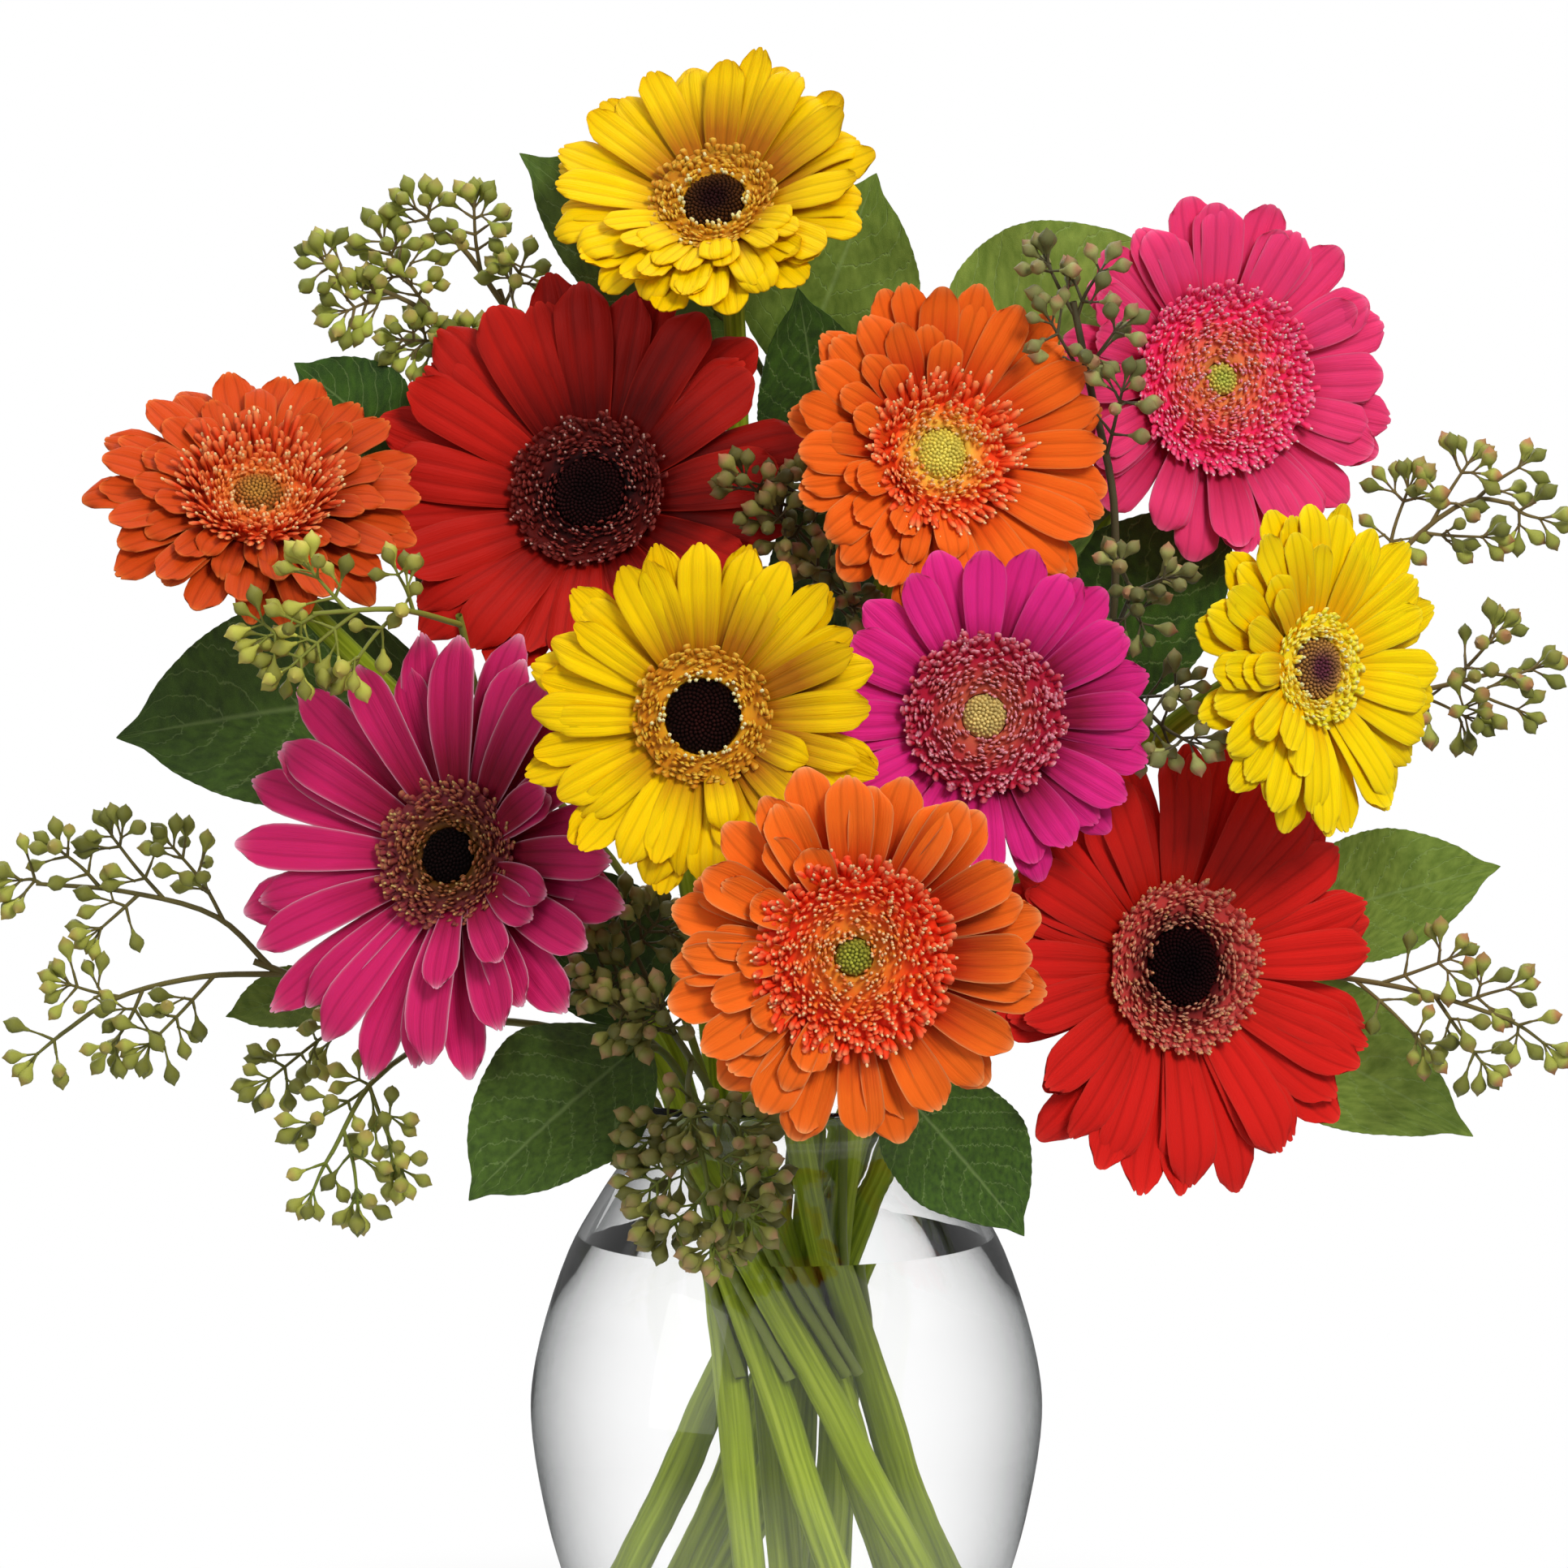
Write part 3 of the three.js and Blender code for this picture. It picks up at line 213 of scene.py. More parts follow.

# Leafy stems: run above the vase, then leaves by base, tip, width, face, wave and paleness,
# which is partly each leaf's own tone and partly painted light and shade, low for leaves in shade
LEAFY = {
    "leaves_top": ([(-2, 20, 300), (0, 34, 372), (-10, 34, 396)], [
        ((-12, 33, 400), (-73, 20, 450), 40, (0.1, -1, 0.15), 1.2, 0.3),
        ((2, 34, 386), (25, 26, 444), 50, (0.1, -1, 0.2), 1.5, 0.7),
        ((12, 33, 356), (4, 8, 411), 34, (0.1, -1, 0.3), 1, 0),
        ((14, 22, 312), (10, -2, 362), 34, (0, -1, 0.2), 1.4, 0)]),
    "leaves_top_right": ([(22, 14, 290), (40, 28, 370), (46, 30, 392)], [
        ((44, 30, 386), (106, 26, 425), 54, (0, -1, 0.25), 1.5, 0.95),
        ((32, 20, 330), (88, -4, 352), 38, (0, -1, 0.3), 1, 0.2),
        ((72, 22, 300), (124, 8, 352), 46, (0.1, -1, 0.2), 1.4, 0)]),
    "leaves_left": ([(-60, 14, 250), (-96, 12, 300), (-104, 16, 366)], [
        ((-104, 16, 366), (-135, 8, 392), 30, (0, -1, 0.4), 1, 0),
        ((-96, 12, 303), (-184, -4, 290), 58, (0.05, -1, 0.25), 1.6, 0.1),
        ((-124, 2, 220), (-154, -8, 213), 17, (0, -1, 0.4), 0.6, 0.8)]),
    "leaves_low_left": ([(-34, -42, 207), (-40, -52, 208)], [
        ((-38, -51, 213), (-85, -70, 172), 48, (-0.2, -1, 0.75), 1.5, 0.15),
        ((-40, -36, 212), (-56, -38, 258), 38, (0.1, -1, 0.1), 1, 0)]),
    "leaves_low_right": ([(24, -42, 205), (30, -54, 200)], [
        ((30, -54, 200), (63, -76, 163), 38, (0.15, -1, 0.5), 1.2, 0.05)]),
    "leaves_right": ([(60, 16, 212), (110, 16, 220), (134, 14, 234)], [
        ((136, 13, 236), (196, -2, 254), 36, (0, -1, 0.35), 1.2, 0.8),
        ((113, 15, 220), (190, -4, 180), 40, (0.05, -1, 0.35), 1.2, 0.9)]),
}

# Eucalyptus: run above the vase, limbs as (share along the run, points), twigs as
# (0 for the run or the number of a limb, share along it, tip), how full the twigs are with
# side buds, then bud, cap and twig colours
SPRAYS = {
    "eucalyptus_top_left": (
        [(-16, 34, 270), (-58, 46, 345), (-80, 24, 412)],
        [(0.84, (-100, 16, 406), (-120, 10, 415)), (0.98, (-90, 12, 424), (-98, 10, 430))],
        [(1, 0.98, (-127, 8, 419)), (1, 0.8, (-121, 9, 406)), (1, 0.6, (-111, 10, 425)),
         (1, 0.4, (-106, 14, 398)), (2, 0.98, (-102, 9, 434)), (2, 0.4, (-86, 9, 434)),
         (0, 0.98, (-73, 10, 418)), (0, 0.88, (-92, 16, 396))],
        2.3, ("#98a43a", "#a89050", "#6c4640")),
    "eucalyptus_left": (
        [(-44, -8, 250), (-80, -16, 292), (-88, -38, 324)],
        [(0.98, (-104, -72, 327), (-124, -77, 326))],
        [(1, 0.98, (-136, -75, 320)), (1, 0.85, (-124, -78, 337)), (1, 0.8, (-130, -76, 312)),
         (1, 0.6, (-114, -73, 312)), (1, 0.5, (-102, -72, 336))],
        1.4, ("#a8a83c", "#bcac50", "#7c8438")),
    "eucalyptus_low_left": (
        [(-58, 2, 206), (-108, -8, 214), (-146, -12, 228)],
        [(0.96, (-156, -11, 240), (-182, -9, 247), (-206, -8, 249)),
         (0.92, (-160, -14, 224), (-184, -16, 218), (-199, -16, 208)),
         (0.5, (-112, -44, 198), (-122, -50, 180))],
        [(1, 0.98, (-210, -8, 250)), (1, 0.75, (-199, -9, 258)), (1, 0.5, (-185, -8, 262)),
         (1, 0.25, (-168, -10, 259)), (1, 0.6, (-188, -10, 237)),
         (2, 0.98, (-205, -16, 203)), (2, 0.7, (-196, -16, 222)), (2, 0.6, (-184, -17, 206)),
         (2, 0.3, (-174, -18, 206)),
         (3, 0.98, (-127, -50, 170)), (3, 0.9, (-115, -52, 168)), (3, 0.7, (-103, -52, 176)),
         (3, 0.5, (-128, -48, 188)), (0, 0.72, (-140, -32, 198))],
        1.4, ("#9aa03e", "#a8904c", "#58402e")),
    "eucalyptus_neck": (
        [(-26, -50, 206), (-30, -62, 214)],
        [(0.6, (-26, -70, 197), (-22, -76, 182), (-20, -78, 170)),
         (0.98, (-36, -60, 226), (-42, -56, 238))],
        [(1, 0.98, (-19, -79, 159)), (1, 0.92, (-31, -78, 164)), (1, 0.88, (-9, -79, 166)),
         (1, 0.75, (-36, -76, 174)), (1, 0.7, (-6, -78, 177)), (1, 0.5, (-37, -74, 186)),
         (1, 0.45, (-10, -77, 189)), (1, 0.3, (-25, -80, 192)),
         (2, 0.98, (-43, -57, 247)), (2, 0.9, (-34, -64, 244)), (2, 0.6, (-50, -62, 230)),
         (0, 0.98, (-45, -70, 222)), (0, 0.9, (-34, -76, 222))],
        2.6, ("#7c7e38", "#b08462", "#4a3824")),
    "eucalyptus_centre": (
        [(4, 2, 280), (8, -14, 326), (8, -22, 344)],
        [],
        [(0, 0.82, (-2, -34, 330)), (0, 0.9, (12, -38, 336)), (0, 0.95, (-2, -36, 350)),
         (0, 0.98, (5, -30, 359)), (0, 0.9, (18, -34, 326)), (0, 0.98, (-11, -34, 360))],
        1.8, ("#6a602c", "#a8644c", "#46301f")),
    "eucalyptus_right": (
        [(36, -4, 230), (84, -12, 300), (89, -21, 350), (82, -26, 385), (77, -31, 408)],
        [(0.5, (90, -38, 306), (97, -60, 298)), (0.6, (93, -34, 330))],
        [(0, 0.98, (70, -34, 418)), (0, 0.98, (84, -35, 416)), (0, 0.92, (88, -36, 400)),
         (0, 0.9, (71, -38, 402)), (0, 0.82, (90, -36, 384)),
         (1, 0.98, (93, -69, 291)), (1, 0.98, (106, -73, 292)), (1, 0.8, (101, -66, 304)),
         (2, 0.98, (89, -43, 338)), (2, 0.98, (101, -42, 334)), (2, 0.8, (95, -42, 322))],
        1.2, ("#7c8050", "#96604a", "#40302a")),
    "eucalyptus_far_right": (
        [(58, 26, 226), (124, 26, 262), (158, 10, 312)],
        [(0.98, (166, 2, 336), (188, 0, 354), (200, 0, 353)),
         (0.92, (174, -4, 302), (194, -8, 307)),
         (0.25, (150, -14, 224), (176, -24, 220), (198, -26, 213))],
        [(1, 0.98, (207, 0, 349)), (1, 0.85, (201, 0, 363)), (1, 0.65, (187, 0, 364)),
         (1, 0.6, (191, -1, 344)), (1, 0.4, (171, 2, 357)),
         (2, 0.98, (204, -9, 308)), (2, 0.75, (194, -7, 317)), (2, 0.8, (200, -10, 297)),
         (2, 0.5, (186, -8, 295)),
         (3, 0.98, (206, -25, 207)), (3, 0.9, (196, -26, 222)), (3, 0.75, (180, -26, 230)),
         (3, 0.85, (189, -27, 202)), (3, 0.7, (173, -26, 207))],
        1.1, ("#929a3e", "#a8644a", "#6a4638")),
}


# Small helpers

def seeded(seed):
    """The part source's own row of draws, so that each petal lies where its solid does."""
    state = seed

    def draw():
        nonlocal state
        state = (state + 0x6D2B79F5) & 0xFFFFFFFF
        t = state
        t = ((t ^ (t >> 15)) * (t | 1)) & 0xFFFFFFFF
        t ^= (t + ((t ^ (t >> 7)) * (t | 61) & 0xFFFFFFFF)) & 0xFFFFFFFF
        return ((t ^ (t >> 14)) & 0xFFFFFFFF) / 4294967296
    return draw


def seed_of(text):
    """A seed for each name, as in the part's source."""
    total = 7
    for letter in text:
        total = (total * 31 + ord(letter)) % 100003
    return total


def unit(v):
    return v / np.linalg.norm(v, axis=-1, keepdims=True)


def linear(colour):
    """An sRGB hex value as linear RGBA."""
    parts = [int(colour[i:i + 2], 16) / 255 for i in (1, 3, 5)]
    return (*[c / 12.92 if c <= 0.04045 else ((c + 0.055) / 1.055) ** 2.4 for c in parts], 1)


class Cutting:
    """Gathers sheets and rods into one mesh, with what the finish reads at each point: growth,
    three values that each finish names, and kind, a number for the sort of flesh."""

    def __init__(self):
        self.points, self.faces, self.growth, self.kind = [], [], [], []
        self.count = 0

    def sheets(self, grid, growth, kind=0, closed=False, flip=False):
        """grid is (how many, rows, columns, 3); closed joins the last column to the first."""
        grid = np.asarray(grid, float)
        index = self.count + np.arange(grid[..., 0].size).reshape(grid.shape[:3])
        self.count += index.size
        a, b = index, np.roll(index, -1, axis=2)
        if not closed:
            a, b = a[:, :, :-1], b[:, :, :-1]
        quads = np.stack([a[:, :-1], b[:, :-1], b[:, 1:], a[:, 1:]], axis=-1).reshape(-1, 4)
        self.faces.append(quads[:, ::-1] if flip else quads)
        self.points.append(grid.reshape(-1, 3))
        marks = np.stack(np.broadcast_arrays(*growth), axis=-1)
        self.growth.append(np.broadcast_to(marks, grid.shape).reshape(-1, 3))
        self.kind.append(np.full(index.size, float(kind)))

    def blades(self, top, bottom, growth, kinds=(0, 1)):
        """Thin closed blades: a face, a back and the rim between them."""
        self.sheets(top, growth, kinds[0])
        self.sheets(bottom, growth, kinds[1], flip=True)
        marks = np.broadcast_to(np.stack(np.broadcast_arrays(*growth), axis=-1), top.shape)
        edge = [np.concatenate([g[:, 0], g[:, 1:, -1], g[:, -1, -2::-1], g[:, -2:0:-1, 0]], axis=1)
                for g in (top, bottom, marks)]
        rim = np.stack(edge[:2], axis=1)
        lines = np.stack([edge[2], edge[2]], axis=1)
        self.sheets(rim, [lines[..., i] for i in range(3)], kinds[0], closed=True, flip=True)

    def rods(self, start, way, stations, sides, growth, kind=0, scale=1):
        """Round rods from start along way: stations are (length along it, radius)."""
        way = unit(np.asarray(way, float))
        helper = np.where(np.abs(way[:, :1]) < 0.9, [[1.0, 0, 0]], [[0, 1.0, 0]])
        across = unit(np.cross(way, helper))
        over = np.cross(way, across)
        turn = 2 * np.pi * np.arange(sides) / sides
        far = np.array([s[0] for s in stations])[None, :, None, None]
        wide = np.array([s[1] for s in stations])[None, :, None, None]
        spoke = (across[:, None, None] * np.cos(turn)[:, None]
                 + over[:, None, None] * np.sin(turn)[:, None])
        grid = (np.asarray(start)[:, None, None]
                + scale * (far * way[:, None, None] + wide * spoke))
        self.sheets(grid, growth, kind, closed=True)

    def tube(self, path, radii, sides, chance=0.5, ridge=0):
        """A round stem along a path, with five ribs where a ridge is given."""
        path = np.asarray(path, float)
        ahead = unit(np.gradient(path, axis=0))
        across = np.array([1.0, 0, 0]) if abs(ahead[0, 0]) < 0.9 else np.array([0, 1.0, 0])
        turn = 2 * np.pi * np.arange(sides) / sides
        rings = []
        for point, way, r in zip(path, ahead, radii):
            across = unit(across - way * across.dot(way))
            over = np.cross(way, across)
            spread = r * (1 + ridge * np.cos(5 * turn))[:, None]
            rings.append(point + spread * (np.cos(turn)[:, None] * across
                                           + np.sin(turn)[:, None] * over))
        steps = np.concatenate([[0], np.cumsum(np.linalg.norm(np.diff(path, axis=0), axis=1))])
        growth = (np.arange(sides)[None, None, :] / sides, steps[None, :, None] / 10, chance)
        self.sheets(np.array(rings)[None], growth, closed=True)

    def piece(self, name, material, slot, *nodes):
        """Makes the mesh, in metres, and puts it in the place of the part's solids."""
        mesh = bpy.data.meshes.new(name)
        points = np.concatenate(self.points) * MM
        mesh.from_pydata(points.tolist(), [], np.concatenate(self.faces).tolist())
        growth = mesh.attributes.new("growth", "FLOAT_VECTOR", "POINT")
        growth.data.foreach_set("vector", np.concatenate(self.growth).astype(np.float32).ravel())
        kind = mesh.attributes.new("kind", "FLOAT", "POINT")
        kind.data.foreach_set("value", np.concatenate(self.kind).astype(np.float32))
        mesh.shade_smooth()
        mesh.materials.append(material)
        obj = bpy.data.objects.new(name, mesh)
        bpy.context.scene.collection.objects.link(obj)
        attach(obj, "root")
        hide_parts(*nodes)


# Materials

def add(tree, kind, inputs=None, stops=None, **settings):
    """Adds a node with its settings, what its sockets hold or are linked to, colours as sRGB
    hex values, and ramp stops."""
    node = tree.nodes.new("ShaderNode" + kind)
    for name, value in settings.items():
        setattr(node, name, value)
    for key, value in (inputs or {}).items():
        if isinstance(value, bpy.types.Node):
            value = value.outputs[0]
        if isinstance(value, bpy.types.NodeSocket):
            tree.links.new(value, node.inputs[key])
        else:
            node.inputs[key].default_value = linear(value) if isinstance(value, str) else value
    for i, (spot, colour) in enumerate(stops or []):
        held = node.color_ramp.elements
        stop = held[i] if i < 2 else held.new(spot)
        stop.position = spot
        stop.color = linear(colour)
    return node


def finish(name, **sockets):
    """A material with one surface shader, and the growth marks split into three values."""
    material = bpy.data.materials.new(name)
    material.use_nodes = True
    tree = material.node_tree
    for key, value in sockets.items():
        tree.nodes["Principled BSDF"].inputs[key.replace("_", " ")].default_value = value
    marks = add(tree, "Attribute", attribute_name="growth", attribute_type="GEOMETRY")
    split = add(tree, "SeparateXYZ", {0: marks.outputs["Vector"]})
    kind = add(tree, "Attribute", attribute_name="kind", attribute_type="GEOMETRY")
    return material, tree, split.outputs, kind.outputs["Fac"]


def surface(material, colour, grain, rough, strength, depth, height=None):
    """Gives a skin its colour, a roughness that its grain moves between two values, and a relief
    by the same grain or by another height. The depth is in millimetres."""
    tree = material.node_tree
    gloss = add(tree, "MapRange", {"Value": grain, "To Min": rough[0], "To Max": rough[1]})
    relief = add(tree, "Bump", {"Height": height or grain, "Strength": strength,
                                "Distance": depth * MM})
    for socket, node in (("Base Color", colour), ("Roughness", gloss), ("Normal", relief)):
        tree.links.new(node.outputs[0], tree.nodes["Principled BSDF"].inputs[socket])
    return material


def in_neck(tree):
    """How low a spot is, from 0 above the vase to 1 under its neck."""
    spot = add(tree, "TexCoord")
    split = add(tree, "SeparateXYZ", {0: spot.outputs["Object"]})
    return add(tree, "MapRange", {"Value": split.outputs[2], "From Min": WET_Z * MM,
                                  "From Max": DRY_Z * MM, "To Min": 1.0, "To Max": 0.0})


def ray_petal(head):
    """Gerbera ray petals, grown in rows, with a satin skin of long cells: fine veins run their
    length, the two grooves are darkened with painted shade, the root is deeper and, as painted
    shade, reaches further up on one side of the bloom, which is painted darker overall, and a
    hair-thin rim is paler, except on golden yellow blooms, where it is darker as painted shade in
    the slits between petals."""
    root, blade, rim = head["petal"]
    material, tree, (across, along, shade_and_tone), back = finish(
        "ray_petal_" + head["id"], Specular_IOR_Level=0.14, Subsurface_Weight=0.12,
        Subsurface_Scale=0.002)
    # Veins are about 0.5 mm apart on a petal 11 mm wide
    lines = add(tree, "Math", {0: across, 1: 11.0}, operation="MULTIPLY")
    slow = add(tree, "Math", {0: along, 1: 1.6}, operation="MULTIPLY")
    fresh = add(tree, "Math", {0: shade_and_tone, 1: 91.0}, operation="MULTIPLY")
    where = add(tree, "CombineXYZ", {0: lines, 1: slow, 2: fresh})
    veins = add(tree, "TexNoise", {"Vector": where, "Scale": 1.0, "Detail": 3.0, "Roughness": 0.6})
    wide = add(tree, "Math", {0: across, 1: 2.2}, operation="MULTIPLY")
    broad = add(tree, "CombineXYZ", {0: wide, 1: slow, 2: fresh})
    blush = add(tree, "TexNoise", {"Vector": broad, "Scale": 1.3, "Detail": 1.0})
    shift = add(tree, "Math", {0: veins, 1: 0.22, 2: along}, operation="MULTIPLY_ADD")
    reach = add(tree, "Math", {0: blush, 1: 0.16, 2: shift}, operation="MULTIPLY_ADD")
    # Painted shade: on one side of the bloom the root's colour reaches further up the petals
    shade_reach = add(tree, "Math", {0: shade_and_tone, 1: -0.6, 2: reach}, operation="MULTIPLY_ADD")
    body = add(tree, "ValToRGB", {0: shade_reach}, stops=[(0.0, root), (0.48, blade)])
    # The rim: paler on most blooms; on yellow_top and yellow_mid its colour is darker, as painted
    # shade in the slits between petals
    edge = add(tree, "Math", {0: across}, operation="ABSOLUTE")
    keen = add(tree, "Math", {0: edge, 1: 26.0}, operation="POWER")
    outer = add(tree, "Math", {0: along, 1: 36.0}, operation="POWER")
    thin = add(tree, "Math", {0: keen, 1: outer}, operation="MAXIMUM")
    pale = add(tree, "Math", {0: thin, 1: 0.8}, operation="MULTIPLY")
    rimmed = add(tree, "MixRGB", {"Fac": pale, "Color1": body, "Color2": rim})
    # Painted shade in the two grooves of each petal
    wave = add(tree, "Math", {0: across, 1: GROOVE_WAVE}, operation="MULTIPLY")
    ridge = add(tree, "Math", {0: wave}, operation="COSINE")
    crest = add(tree, "Math", {0: ridge}, operation="ABSOLUTE")
    dark = add(tree, "MapRange", {"Value": crest, "From Max": 0.6, "To Min": 0.74, "To Max": 1.0},
               interpolation_type="SMOOTHSTEP")
    groove_shaded = add(tree, "MixRGB", {"Fac": 0.8, "Color1": rimmed, "Color2": dark},
                  blend_type="MULTIPLY")
    # Painted light and shade: the bloom is darkened towards that side and lightened away from it
    shade_dim = add(tree, "MapRange", {"Value": shade_and_tone, "To Min": 1.05, "To Max": 0.86})
    toned = add(tree, "MixRGB", {"Fac": 1.0, "Color1": groove_shaded, "Color2": shade_dim},
                blend_type="MULTIPLY")
    under = add(tree, "Math", {0: back, 1: 0.4}, operation="MULTIPLY")
    both = add(tree, "MixRGB", {"Fac": under, "Color1": toned, "Color2": root})
    return surface(material, both, veins, (0.42, 0.62), 0.6, 0.5)


def cell_grain(tree):
    """The cells of a floret's skin, drawn 0.4 mm wide, as coarse as they need to be to show."""
    return add(tree, "TexNoise", {"Scale": 1 / (0.4 * MM), "Detail": 1.0})


def floret_flesh(head):
    """Tubular florets of the ring: waxy little trumpets, paler at the lip, and pollen beads.
    The colour goes from the eye outwards and from each floret's root to its lip, with painted
    shade low down between the florets."""
    inner, outer, lip = head["floret"]
    material, tree, (ring, along, chance), bead = finish(
        "floret_" + head["id"], Specular_IOR_Level=0.2, Subsurface_Weight=0.3,
        Subsurface_Scale=0.003)
    wander = add(tree, "Math", {0: chance, 1: 0.3, 2: ring}, operation="MULTIPLY_ADD")
    body = add(tree, "ValToRGB", {0: wander}, stops=[(0.2, inner), (0.75, outer)])
    # Painted shade: each floret darker towards its root, down between the florets
    base_shade = add(tree, "MapRange", {"Value": along, "From Max": 0.6, "To Min": 0.88, "To Max": 1.08})
    shaded = add(tree, "MixRGB", {"Fac": 1.0, "Color1": body, "Color2": base_shade},
                 blend_type="MULTIPLY")
    tip = add(tree, "MapRange", {"Value": along, "From Min": 0.62, "From Max": 1.0})
    lucky = add(tree, "MapRange", {"Value": chance, "From Min": 0.1, "From Max": 0.8,
                                   "To Min": 0.15, "To Max": 0.95})
    much = add(tree, "Math", {0: tip, 1: lucky}, operation="MULTIPLY")
    lipped = add(tree, "MixRGB", {"Fac": much, "Color1": shaded, "Color2": lip})
    dusted = add(tree, "MixRGB", {"Fac": bead, "Color1": lipped, "Color2": head["bead"]})
    return surface(material, dusted, cell_grain(tree), (0.4, 0.65), 0.3, 0.2)


def disc_buds(head):
    """Unopened florets of the eye, packed in spirals: velvety and dark, or a fresh green button,
    with painted shade between the buds, so that each bud is darker at its foot and lighter at its
    cap."""
    heart, rim = head["disc"]
    # Painted shade between the buds is lighter on a green button
    gap_shade = 0.75 if linear(heart)[1] > 0.3 else 0.4
    material, tree, (ring, along, chance), _ = finish(
        "disc_" + head["id"], Specular_IOR_Level=0.18)
    body = add(tree, "ValToRGB", {0: ring}, stops=[(0.3, heart), (1.0, rim)])
    # Painted shade: each bud darker towards its foot, between the buds, lighter at its cap
    base_shade = add(tree, "MapRange", {"Value": along, "To Min": gap_shade, "To Max": 1.1})
    shaded = add(tree, "MixRGB", {"Fac": 1.0, "Color1": body, "Color2": base_shade},
                 blend_type="MULTIPLY")
    vary = add(tree, "MapRange", {"Value": chance, "To Min": 0.8, "To Max": 1.2})
    toned = add(tree, "MixRGB", {"Fac": 1.0, "Color1": shaded, "Color2": vary},
                blend_type="MULTIPLY")
    return surface(material, toned, cell_grain(tree), (0.6, 0.85), 0.3, 0.2)


def gerbera_stem():
    """Leafless gerbera stems, ribbed and finely hairy: a soft sheen, pale and dark streaks
    along the ribs, and darker green bracts at the cup."""
    material, tree, (around, along, chance), cup = finish(
        "gerbera_stem", Sheen_Weight=0.06, Sheen_Roughness=0.5, Sheen_Tint=linear("#d8e8b0"),
        Specular_IOR_Level=0.1)
    spin = add(tree, "Math", {0: around, 1: math.tau}, operation="MULTIPLY")
    x = add(tree, "Math", {0: spin}, operation="COSINE")
    y = add(tree, "Math", {0: spin}, operation="SINE")
    # Streaks 1 mm wide and some centimetres long
    ring = add(tree, "CombineXYZ", {0: x, 1: y, 2: chance})
    wide = add(tree, "VectorMath", {0: ring, 1: (3.0, 3.0, 50.0)}, operation="MULTIPLY")
    climb = add(tree, "CombineXYZ", {2: along})
    slow = add(tree, "VectorMath", {0: climb, 1: (1.0, 1.0, 0.2)}, operation="MULTIPLY")
    where = add(tree, "VectorMath", {0: wide, 1: slow}, operation="ADD")
    streak = add(tree, "TexNoise", {"Vector": where, "Scale": 1.0, "Detail": 3.0})
    body = add(tree, "ValToRGB", {0: streak},
               stops=[(0.25, "#5a6a14"), (0.5, "#84961e"), (0.8, "#acba3e")])
    bracts = add(tree, "ValToRGB", {0: streak}, stops=[(0.3, "#2e4618"), (0.7, "#5c7a2c")])
    # Painted light: the stems are brighter in the water, under the neck
    water_light = add(tree, "MapRange", {"Value": in_neck(tree), "To Min": 1.0, "To Max": 1.2})
    fresh = add(tree, "MixRGB", {"Fac": 1.0, "Color1": body, "Color2": water_light}, blend_type="MULTIPLY")
    both = add(tree, "MixRGB", {"Fac": cup, "Color1": fresh, "Color2": bracts})
    return surface(material, both, streak, (0.38, 0.6), 0.4, 0.5)


